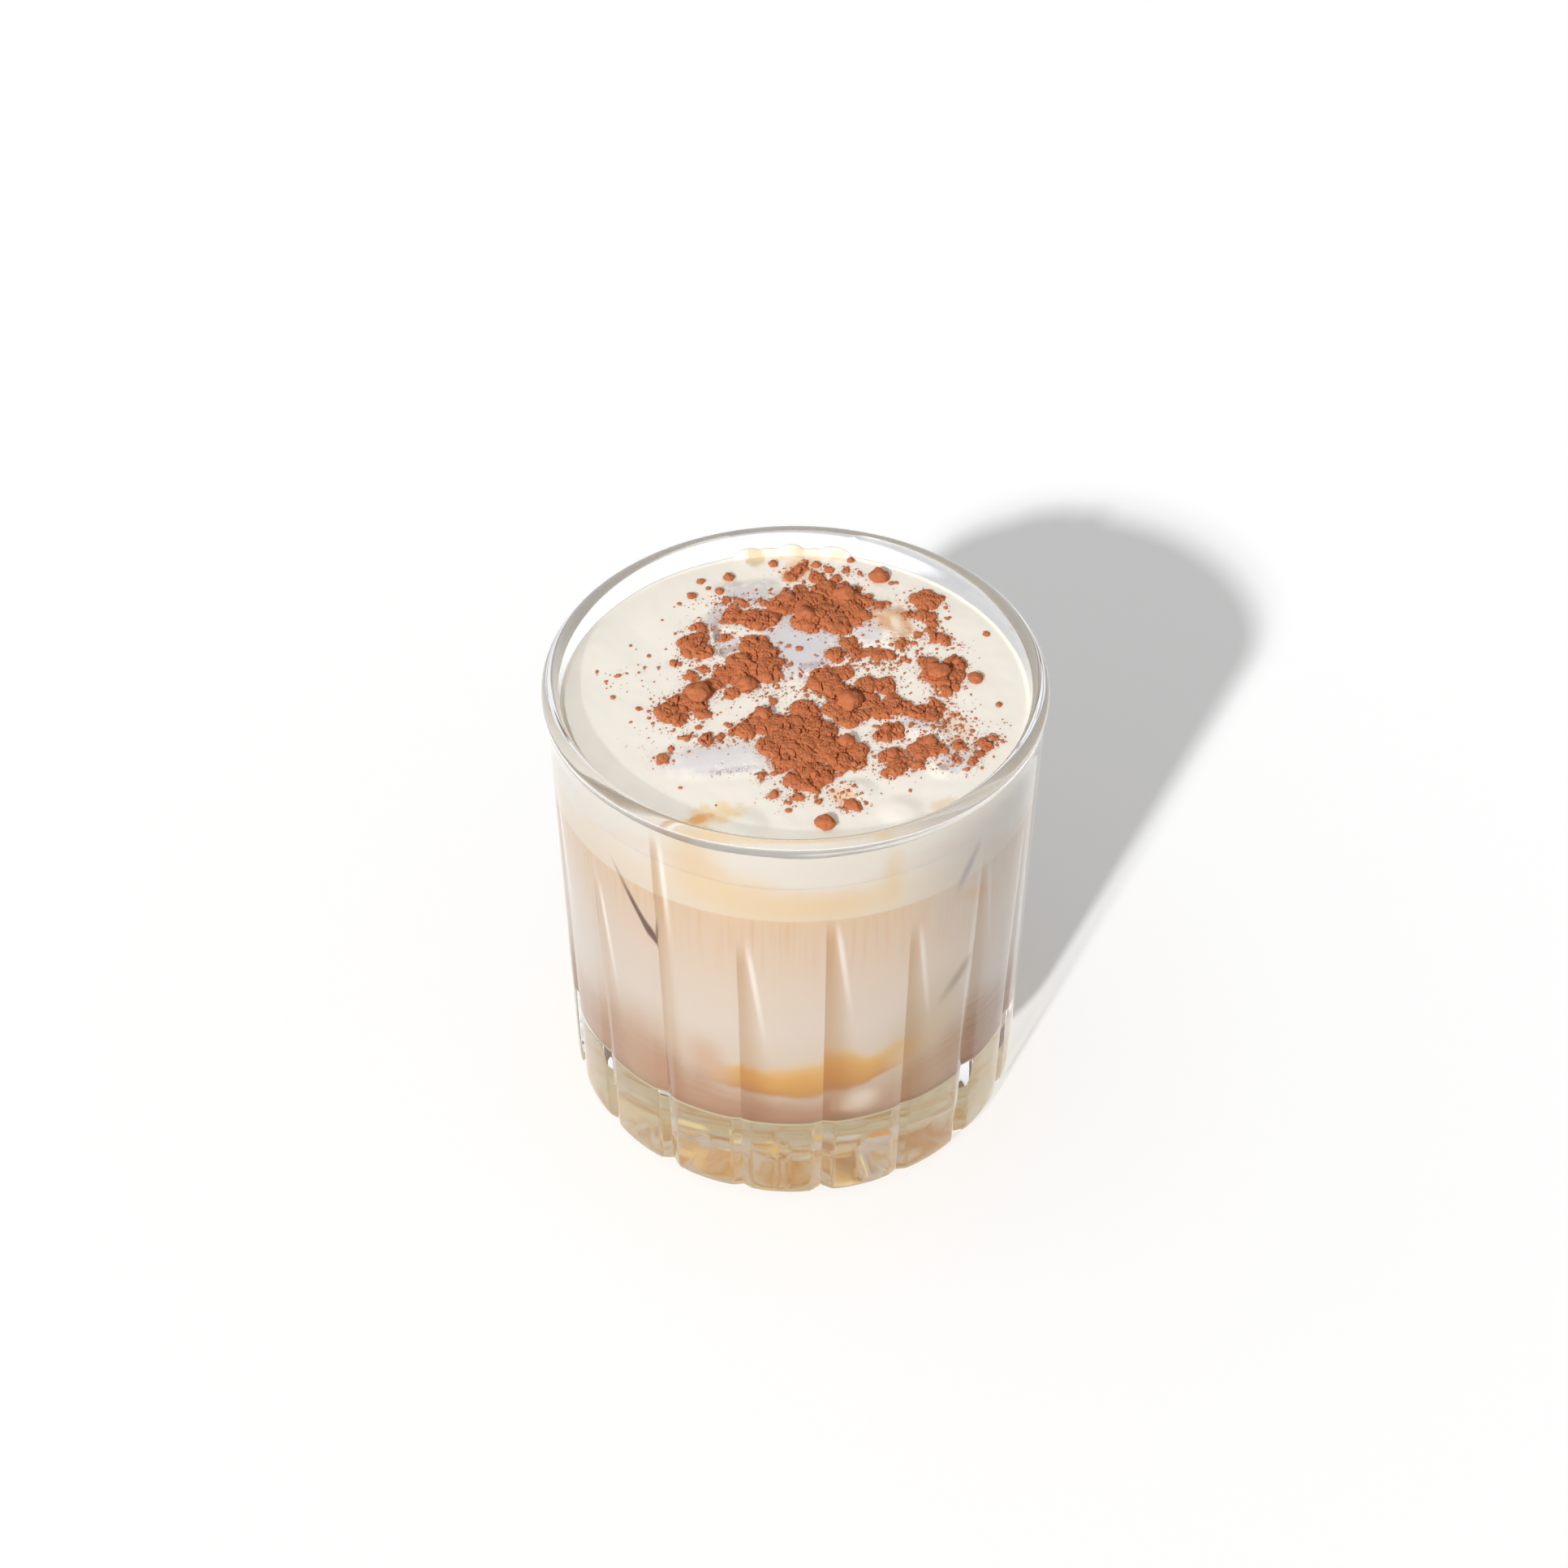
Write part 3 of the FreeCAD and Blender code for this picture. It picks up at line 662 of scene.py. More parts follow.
def grain_places():
    """Places for loose grains: thick near the heaps, thin further out, and in a few sprays."""
    lumps = [lump for heap in HEAPS for lump in heap] + PATCHES
    weights = [lump[2] for lump in lumps]
    places = []
    while len(places) < GRAIN_COUNT:
        x, y, radius = random.choices(lumps, weights)[0]
        turn = random.uniform(0, math.tau)
        away = radius + 0.2 + random.expovariate(1 / 1.3)
        places.append((x + away * math.cos(turn), y + away * math.sin(turn)))
    for middle_x, middle_y, spread_x, spread_y, count in SPRAYS:
        places += [(random.gauss(middle_x, spread_x), random.gauss(middle_y, spread_y))
                   for _ in range(count)]
    return [place for place in places if math.hypot(*place) < inner_radius(CREAM_LEVEL) - 2.5]


def cocoa_grains(material):
    """Loose grains scattered over the cream, each a rough crumb of a few faces, made in small batches."""
    bm = bmesh.new()
    places = grain_places()
    for first in range(0, len(places), GRAIN_BATCH):
        batch = bmesh.new()
        for x, y in places[first:first + GRAIN_BATCH]:
            radius = min(0.065 + 0.075 * random.expovariate(1.0), 0.55)
            detail = 2 if radius > 0.24 else 1
            made = bmesh.ops.create_icosphere(batch, subdivisions=detail, radius=radius)["verts"]
            stretch = Matrix.Diagonal((random.uniform(0.8, 1.5), random.uniform(0.7, 1.1),
                                       random.uniform(0.55, 0.9)))
            turn = Matrix.Rotation(random.uniform(0, math.tau), 3, "Z")
            middle = Vector((x, y, cream_height(x, y) + 0.3 * radius))
            for vert in made:
                vert.co *= random.uniform(0.85, 1.15)
                vert.co = turn @ (stretch @ vert.co) + middle
        mesh = bpy.data.meshes.new("grain_batch")
        batch.to_mesh(mesh)
        batch.free()
        bm.from_mesh(mesh)
        bpy.data.meshes.remove(mesh)
    return new_piece("powder_grains", bm, material, [])


# ---------------------------------------------------------------- materials

def clear_glass():
    """Soda-lime glass, pressed and fire polished: clear and colourless, sharp bright edges.

    Lamps and soft light pass straight through it, so that what it holds is lit as in the open. Light that
    has turned many times inside the lip and the cuts is replaced by a painted glow in the white of the room."""
    material, tree, output = new_material("clear_soda_lime_glass")
    shader = add(tree, "ShaderNodeBsdfPrincipled", {
        "Base Color": linear("#FBFCFF"), "Roughness": 0.0, "IOR": 1.5, "Transmission Weight": 1.0})
    path = add(tree, "ShaderNodeLightPath")
    trapped = add(tree, "ShaderNodeMath", {0: path.outputs["Ray Depth"], 1: TRAPPED_DEPTH},
                  operation="GREATER_THAN")
    # Painted glow in the room's white, where light has turned many times inside the glass.
    room = add(tree, "ShaderNodeEmission", {"Color": linear("#F1F4F7"), "Strength": 1.0})
    shader = add(tree, "ShaderNodeMixShader", {0: trapped.outputs[0], 1: shader.outputs[0],
                                               2: room.outputs[0]})
    soft = add(tree, "ShaderNodeBsdfTransparent", {"Color": (0.83, 0.84, 0.83, 1.0)})
    hard = add(tree, "ShaderNodeBsdfTransparent", {"Color": (0.86, 0.86, 0.86, 1.0)})
    passed = add(tree, "ShaderNodeMixShader", {0: path.outputs["Is Shadow Ray"], 1: soft.outputs[0],
                                               2: hard.outputs[0]})
    passes = add(tree, "ShaderNodeMath", {0: path.outputs["Is Shadow Ray"],
                                          1: path.outputs["Is Diffuse Ray"]}, operation="MAXIMUM")
    mixed = add(tree, "ShaderNodeMixShader", {0: passes.outputs[0], 1: shader.outputs[0],
                                              2: passed.outputs[0]})
    tree.links.new(mixed.outputs[0], output.inputs["Surface"])
    return material


# Colours of the drink from its floor up: height in millimetres and colour.
DRINK_BANDS = [
    (17.0, "#B2886C"), (36.0, "#DAC5B2"), (44.0, "#DFCDBF"), (54.0, "#E0CBB9"), (64.0, "#E1C6AE"),
    (71.0, "#E2C3A4"),
]
CREAM_BANDS = [(70.0, "#E8D4BC"), (77.0, "#ECDAC6"), (80.5, "#EDDFD2")]
# Heights of the drink's soft boundaries at places round the wall, azimuth in degrees from the front.
DARK_TOP = [(-60, 35), (-50, 38), (-40, 38), (-33, 35), (-28, 31), (-24, 35), (-17, 30), (-12, 28.5),
            (0, 27), (10, 27), (15, 22.5), (20, 22.5), (26, 28), (33, 36), (42, 40), (52, 41), (62, 38),
            (80, 35)]
WHITE_LINE = [(-60, 78), (-34, 84.5), (-20, 83), (-10, 80.6), (2, 79.2), (12, 79.6), (22, 82), (34, 84),
              (48, 79), (60, 73), (80, 78)]
CARAMEL_FOOT = [(-26, 29.6), (-20, 28.4), (-12, 27.9), (0, 26.8), (6.5, 26.8), (8, 28.3), (13, 28.4),
                (19, 29.2), (26, 31), (32, 32.5), (37, 34)]
CARAMEL_TOP = [(-26, 31), (-20, 33), (-15, 35), (-12.8, 35.8), (-9, 34.0), (-4, 35), (0, 35.7), (6.5, 37),
               (7.5, 40), (13, 39.2), (16, 37.4), (19, 36), (23, 37.4), (27, 38.6), (31, 37.6), (37, 35)]

# Painted shade on the drink against the wall, darkest on the left and fading out to the right: x in
# millimetres and tint.
SIDE_SHADE = [(-37, "#E6E7E5"), (-15, "#EEEEEA"), (7, "#F4F3EF"), (21, "#FCFCF8"), (32, "#FFFFFC")]

# Marks in the drink: colour, azimuth and height of the middle, half width in degrees, half height in
# millimetres, climb in millimetres a degree, softness, and strength.
MARKS = [
    ("#EBC794", -24.0, 84.0, 6.0, 7.0, 0.0, 0.9, 0.6),
    ("#F0CE9C", -16.0, 79.0, 9.0, 3.0, 0.0, 0.9, 0.5),
    ("#EACB9C", 22.0, 79.5, 2.2, 5.5, 0.0, 0.9, 0.6),
    ("#ECC894", -4.0, 75.5, 16.0, 3.2, 0.0, 0.9, 0.55),
    ("#ECC894", 12.0, 76.0, 10.0, 2.6, 0.0, 0.9, 0.4),
    ("#CFC4BC", 47.0, 74.0, 16.0, 12.0, 0.0, 0.8, 0.6),
    ("#A99AA0", 43.5, 74.0, 2.6, 1.8, 1.2, 0.8, 0.65),
    ("#C39A7C", -45.0, 30.0, 12.0, 9.0, 0.1, 0.9, 0.55),
    ("#B98A6C", -33.0, 24.0, 9.0, 6.0, 0.0, 0.9, 0.5),
    ("#CFA384", -22.0, 34.5, 4.5, 4.0, -0.3, 0.9, 0.7),
    ("#AF7F60", -4.0, 21.6, 22.0, 2.6, 0.0, 0.9, 0.7),
    ("#E9D8C6", 16.3, 24.4, 4.6, 2.6, 0.0, 0.7, 0.8),
    ("#CDB28F", 34.0, 38.0, 9.0, 9.0, 0.3, 0.9, 0.7),
    ("#94825E", 43.0, 47.5, 4.0, 1.6, 0.7, 0.9, 0.6),
    ("#D9B98E", 28.0, 33.5, 4.0, 2.6, 0.15, 0.9, 0.7),
    ("#DDB291", 47.5, 66.0, 6.0, 1.6, -0.35, 0.9, 0.6),
    ("#C09A78", 33.0, 23.5, 12.0, 5.0, 0.15, 0.9, 0.8),
]
# The dark thread of coffee that crosses the left of the cream: the same numbers.
THREAD = [
    ("#8A6A58", -42.6, 69.0, 3.6, 0.9, -1.15, 0.7, 0.6),
    ("#6F4937", -39.4, 65.0, 4.0, 1.1, -1.15, 0.45, 0.95),
    ("#6F4937", -36.8, 61.9, 2.6, 1.5, -1.05, 0.4, 0.95),
    ("#7E5745", -34.4, 62.2, 0.8, 2.6, 1.0, 0.6, 0.85),
]
# Painted glints and refractions that the base throws on the drink's underside as seen through it: colour, x,
# y, half length in x and in y, softness, and strength.
UNDER_GLINTS = [
    ("#C4924F", -10.2, -4.2, 1.8, 3.2, 0.6, 0.6), ("#DDB877", -11.2, -1.6, 0.5, 1.2, 0.7, 0.8),
    ("#BDB0A4", -9.8, 2.0, 1.3, 2.1, 0.5, 0.8), ("#D8AE66", -10.8, 6.0, 0.9, 1.8, 0.6, 0.85),
    ("#E6D098", -9.2, 9.6, 1.1, 1.6, 0.5, 0.85), ("#C2B29C", -15.6, 2.6, 2.4, 2.8, 0.6, 0.35),
    ("#C4985A", -15.2, -4.2, 2.4, 2.8, 0.7, 0.7), ("#D6BF8C", -15.2, 8.4, 2.4, 1.6, 0.7, 0.4),
    ("#C2BBB2", 1.6, 3.4, 1.2, 4.0, 0.5, 0.65), ("#D8AE66", -2.1, 2.4, 0.5, 3.6, 0.6, 0.85),
    ("#C2BAB2", -3.6, 0.4, 0.6, 5.6, 0.5, 0.7), ("#B98A52", -1.6, -6.6, 3.2, 1.2, 0.7, 0.7),
    ("#E2C080", 5.6, -1.4, 0.8, 4.0, 0.6, 0.85), ("#F2E2B6", 5.5, -0.4, 0.4, 1.8, 0.6, 0.85),
    ("#C8C3B9", 5.5, 6.6, 0.8, 1.6, 0.5, 0.75), ("#BEB2A8", 8.3, 0.4, 0.9, 4.4, 0.4, 0.75),
    ("#D29444", 8.3, 7.0, 0.8, 1.4, 0.5, 0.9), ("#B98A58", 7.2, -6.8, 2.4, 1.2, 0.7, 0.6),
    ("#C8BBA9", 15.4, 8.6, 3.4, 1.4, 0.5, 0.7), ("#B0804F", 15.6, 3.4, 3.0, 2.6, 0.6, 0.85),
]
# Painted light and shade that the cuts throw aside, cut by cut from four half pitches left of the first one
# to two right of it: height where its painted tan shadow band starts, degrees that it widens a millimetre,
# and strength.
CUT_LIGHTS = [(73.0, 0.165, 0.95), (67.0, 0.165, 0.85), (87.0, 0.07, 0.95), (67.0, 0.165, 0.85),
              (73.0, 0.165, 0.95), (67.0, 0.165, 0.85), (73.0, 0.165, 0.4)]
# Width in degrees of a band where it starts, and how much further round than its cut it lies.
CUT_LIGHT_WIDTH = 2.2
CUT_LIGHT_REACH = 1.04
# Strength of the painted glow, an emission on the drink's underside that stands for the light which the
# clear base carries under it.
CARRIED_GLOW = 0.66


def place_in_mm(tree):
    """The place on the object, in millimetres."""
    place = add(tree, "ShaderNodeTexCoord").outputs["Object"]
    return add(tree, "ShaderNodeVectorMath", {0: place, "Scale": 1 / MM}, operation="SCALE").outputs[0]


def drink_places(tree):
    """What the paint goes by: place, azimuth from the front, and both bent by swirls or frayed."""
    place = place_in_mm(tree)
    x, y, z = add(tree, "ShaderNodeSeparateXYZ", {0: place}).outputs
    back = add(tree, "ShaderNodeMath", {0: y, 1: -1.0}, operation="MULTIPLY").outputs[0]
    turned = add(tree, "ShaderNodeMath", {0: x, 1: back}, operation="ARCTAN2").outputs[0]
    azimuth = add(tree, "ShaderNodeMath", {0: turned}, operation="DEGREES").outputs[0]

    # Slow swirls, about 11 mm long, bend the bands; quick ones of 4 mm fray the edges.
    swirl = add(tree, "ShaderNodeTexNoise", {"Vector": place, "Scale": 1 / 11.0, "Detail": 2.0}).outputs[0]
    fray = add(tree, "ShaderNodeTexNoise", {"Vector": place, "Scale": 1 / 4.0, "Detail": 4.0}).outputs[0]
    bend = add(tree, "ShaderNodeMath", {0: swirl, 1: 4.0, 2: -2.0}, operation="MULTIPLY_ADD").outputs[0]
    edge = add(tree, "ShaderNodeMath", {0: fray, 1: 3.0, 2: -1.5}, operation="MULTIPLY_ADD").outputs[0]
    bent = add(tree, "ShaderNodeMath", {0: z, 1: bend}, operation="ADD").outputs[0]
    frayed = add(tree, "ShaderNodeMath", {0: z, 1: edge}, operation="ADD").outputs[0]
    frayed_turn = add(tree, "ShaderNodeMath", {0: azimuth, 1: edge}, operation="ADD").outputs[0]
    return SimpleNamespace(place=place, x=x, y=y, z=z, azimuth=azimuth, edge=edge, bent=bent,
                           frayed=frayed, frayed_turn=frayed_turn)


def boundary_height(tree, at, points):
    """Height of a soft boundary at a place round the wall, from its azimuths and heights."""
    lap = add(tree, "ShaderNodeMapRange", {"Value": at.azimuth, "From Min": -90.0, "From Max": 90.0})
    ramp = add(tree, "ShaderNodeValToRGB", {0: lap.outputs[0]}, stops=[
        ((degrees + 90) / 180, (level / HEIGHT, level / HEIGHT, level / HEIGHT, 1.0))
        for degrees, level in points])
    return add(tree, "ShaderNodeMath", {0: ramp.outputs[0], 1: HEIGHT}, operation="MULTIPLY").outputs[0]


def colour_by_height(tree, height, bands):
    """Colour of a list of heights and colours at a height."""
    low, high = bands[0][0], bands[-1][0]
    share = add(tree, "ShaderNodeMapRange", {"Value": height, "From Min": low, "From Max": high})
    ramp = add(tree, "ShaderNodeValToRGB", {0: share.outputs[0]}, stops=[
        ((level - low) / (high - low), linear(colour)) for level, colour in bands])
    return ramp.outputs[0]


def bled_and_sunk(tree, at, drink):
    """The drink with the cream's fine upright streaks at its top, and dark coffee, streaked level, at
    its bottom."""
    sunk = add(tree, "ShaderNodeMath", {0: boundary_height(tree, at, DARK_TOP), 1: at.frayed},
               operation="SUBTRACT").outputs[0]
    upright = add(tree, "ShaderNodeVectorMath", {0: at.place, 1: (1 / 0.9, 1 / 0.9, 1 / 22.0)},
                  operation="MULTIPLY")
    streaks = add(tree, "ShaderNodeTexNoise", {"Vector": upright.outputs[0], "Scale": 1.0, "Detail": 2.0})
    streak = add(tree, "ShaderNodeMapRange", {"Value": streaks.outputs[0], "From Min": 0.42,
                                              "From Max": 0.75}, interpolation_type="SMOOTHSTEP")
    near_top = add(tree, "ShaderNodeMapRange", {"Value": at.z, "From Min": 54.0, "From Max": 71.0,
                                                "To Max": 0.5}, interpolation_type="SMOOTHSTEP")
    amount = add(tree, "ShaderNodeMath", {0: streak.outputs[0], 1: near_top.outputs[0]},
                 operation="MULTIPLY")
    drink = add(tree, "ShaderNodeMix", {0: amount.outputs[0], 6: drink, 7: linear("#DBB088")},
                data_type="RGBA").outputs[2]

    depth = add(tree, "ShaderNodeMapRange", {"Value": sunk, "From Min": -2.0, "From Max": 13.0},
                interpolation_type="SMOOTHSTEP").outputs[0]
    drink = add(tree, "ShaderNodeMix", {0: depth, 6: drink, 7: linear("#BF9474")},
                data_type="RGBA").outputs[2]
    level = add(tree, "ShaderNodeVectorMath", {0: at.place, 1: (1 / 8.0, 1 / 8.0, 1 / 1.0)},
                operation="MULTIPLY")
    rows = add(tree, "ShaderNodeTexNoise", {"Vector": level.outputs[0], "Scale": 1.0, "Detail": 4.0})
    row = add(tree, "ShaderNodeMapRange", {"Value": rows.outputs[0], "From Min": 0.4, "From Max": 0.7})
    near_floor = add(tree, "ShaderNodeMapRange", {"Value": sunk, "From Min": 1.0, "From Max": 8.0,
                                                  "To Max": 0.5}, interpolation_type="SMOOTHSTEP")
    amount = add(tree, "ShaderNodeMath", {0: row.outputs[0], 1: near_floor.outputs[0]},
                 operation="MULTIPLY")
    return add(tree, "ShaderNodeMix", {0: amount.outputs[0], 6: drink, 7: linear("#AA7B5E")},
               data_type="RGBA").outputs[2]


def caramel(tree, at, drink):
    """The caramel syrup: deepest in colour at its foot, paler and blurred upwards, fading at both ends."""
    bottom = boundary_height(tree, at, CARAMEL_FOOT)
    over_foot = add(tree, "ShaderNodeMath", {0: at.frayed, 1: bottom}, operation="SUBTRACT").outputs[0]
    tall = add(tree, "ShaderNodeMath", {0: boundary_height(tree, at, CARAMEL_TOP), 1: bottom},
               operation="SUBTRACT").outputs[0]
    share = add(tree, "ShaderNodeMath", {0: over_foot, 1: tall}, operation="DIVIDE").outputs[0]
    syrup = add(tree, "ShaderNodeValToRGB", {0: share}, stops=[
        (0.0, linear("#BF8542")), (0.3, linear("#D1953F")), (0.65, linear("#DBA453")),
        (1.0, linear("#E3BE88"))])
    amount = 1.0
    for value, none_at, full_at, most in (
            (share, -0.12, 0.1, 1.0), (share, 1.15, 0.75, 1.0), (at.frayed_turn, -27.0, -12.0, 0.95),
            (at.frayed_turn, 36.0, 25.0, 1.0)):
        part = add(tree, "ShaderNodeMapRange", {"Value": value, "From Min": none_at, "From Max": full_at,
                                                "To Max": most}, interpolation_type="SMOOTHSTEP")
        amount = add(tree, "ShaderNodeMath", {0: amount, 1: part.outputs[0]},
                     operation="MULTIPLY").outputs[0]
    return add(tree, "ShaderNodeMix", {0: amount, 6: drink, 7: syrup.outputs[0]},
               data_type="RGBA").outputs[2]


def cream_over_drink(tree, at, drink):
    """The cream's lower edge, a clear line that falls away to both sides, and the white above it."""
    share = add(tree, "ShaderNodeMath", {0: at.x, 1: inner_radius(MILK_LEVEL)}, operation="DIVIDE")
    fall = add(tree, "ShaderNodeMath", {0: share.outputs[0], 1: 2.0}, operation="POWER")
    lifted = add(tree, "ShaderNodeMath", {0: fall.outputs[0], 1: MILK_DOME, 2: at.z},
                 operation="MULTIPLY_ADD")
    above = add(tree, "ShaderNodeMapRange", {"Value": lifted.outputs[0], "From Min": MILK_LEVEL - 0.3,
                                             "From Max": MILK_LEVEL + 0.3},
                interpolation_type="SMOOTHSTEP")
    cream_side = colour_by_height(tree, at.frayed, CREAM_BANDS)
    colour = add(tree, "ShaderNodeMix", {0: above.outputs[0], 6: drink, 7: cream_side},
                 data_type="RGBA").outputs[2]
    over = add(tree, "ShaderNodeMath", {0: at.frayed, 1: boundary_height(tree, at, WHITE_LINE)},
               operation="SUBTRACT").outputs[0]
    white = add(tree, "ShaderNodeMapRange", {"Value": over, "From Min": -0.9, "From Max": 1.4,
                                             "To Max": 0.95}, interpolation_type="SMOOTHSTEP").outputs[0]
    return add(tree, "ShaderNodeMix", {0: white, 6: colour, 7: linear("#EDE4D9")},
               data_type="RGBA").outputs[2]


def marked(tree, at, colour):
    """The colour with the soft marks and the dark thread laid over it, and painted shade that darkens it
    towards the left.
    """
    marks = [(at.frayed_turn, at.frayed, mark) for mark in MARKS]
    marks += [(at.azimuth, at.z, mark) for mark in THREAD]
    for around, up, (tint, middle, height, half, half_height, climb, soft, strength) in marks:
        off = add(tree, "ShaderNodeMath", {0: around, 1: middle}, operation="SUBTRACT").outputs[0]
        line = add(tree, "ShaderNodeMath", {0: off, 1: climb, 2: height},
                   operation="MULTIPLY_ADD").outputs[0]
        rise = add(tree, "ShaderNodeMath", {0: up, 1: line}, operation="SUBTRACT").outputs[0]
        spot = add(tree, "ShaderNodeCombineXYZ", {0: off, 1: rise}).outputs[0]
        spot = add(tree, "ShaderNodeVectorMath", {0: spot, 1: (1 / half, 1 / half_height, 0.0)},
                   operation="MULTIPLY").outputs[0]
        away = add(tree, "ShaderNodeVectorMath", {0: spot}, operation="LENGTH").outputs["Value"]
        mask = add(tree, "ShaderNodeMapRange", {"Value": away, "From Min": 1 + soft, "From Max": 1 - soft,
                                                "To Max": strength}, interpolation_type="SMOOTHSTEP")
        colour = add(tree, "ShaderNodeMix", {0: mask.outputs[0], 6: colour, 7: linear(tint)},
                     data_type="RGBA").outputs[2]

    # Painted shade: the drink is multiplied darker towards the left side of the wall.
    across = add(tree, "ShaderNodeMapRange", {"Value": at.x, "From Min": -45.0, "From Max": 45.0})
    painted_side_shade = add(tree, "ShaderNodeValToRGB", {0: across.outputs[0]}, stops=[
        ((side + 45) / 90, linear(tint)) for side, tint in SIDE_SHADE])
    return add(tree, "ShaderNodeMix", {0: 1.0, 6: colour, 7: painted_side_shade.outputs[0]}, data_type="RGBA",
               blend_type="MULTIPLY").outputs[2]


def light_from_cuts(tree, at, colour):
    """Painted light from the cuts, which throw the sunlight aside: a painted tan shadow band runs down
    beside each valley, then a painted bright streak.
    """
    for number, (start, slant, strength) in enumerate(CUT_LIGHTS, start=-4):
        valley = (FIRST_CUT_DEG + 180 / CUTS * number) * CUT_LIGHT_REACH
        off = add(tree, "ShaderNodeMath", {0: at.azimuth, 1: valley}, operation="SUBTRACT").outputs[0]
        drop = add(tree, "ShaderNodeMath", {0: start, 1: at.z}, operation="SUBTRACT").outputs[0]
        width = add(tree, "ShaderNodeMath", {0: drop, 1: slant, 2: CUT_LIGHT_WIDTH},
                    operation="MULTIPLY_ADD").outputs[0]
        share = add(tree, "ShaderNodeMath", {0: off, 1: width}, operation="DIVIDE").outputs[0]
        past = add(tree, "ShaderNodeMath", {0: off, 1: width}, operation="SUBTRACT").outputs[0]
        past = add(tree, "ShaderNodeMath", {0: past}, operation="ABSOLUTE").outputs[0]
        beside, begun, below, painted_streak, reach = [
            add(tree, "ShaderNodeMapRange", {"Value": value, "From Min": none_at, "From Max": full_at,
                                             "To Max": most}, interpolation_type="SMOOTHSTEP").outputs[0]
            for value, none_at, full_at, most in (
                (share, 1.15, 0.15, 1.0), (off, -0.5, 0.1, 1.0), (drop, -1.0, 7.0, strength),
                (past, 1.1, 0.1, 0.75), (drop, 30.0, 8.0, 1.0))]
        # Painted shade in the band beside the valley, and a painted highlight for the streak after it.
        painted_cut_shadow = add(tree, "ShaderNodeMix", {0: 1.0, 6: colour, 7: linear("#E6D2B7")}, data_type="RGBA",
                     blend_type="MULTIPLY").outputs[2]
        for first, second, laid in ((beside, begun, painted_cut_shadow), (painted_streak, reach, linear("#F4EADF"))):
            amount = add(tree, "ShaderNodeMath", {0: first, 1: second}, operation="MULTIPLY").outputs[0]
            amount = add(tree, "ShaderNodeMath", {0: amount, 1: below}, operation="MULTIPLY").outputs[0]
            colour = add(tree, "ShaderNodeMix", {0: amount, 6: colour, 7: laid},
                         data_type="RGBA").outputs[2]
    return colour


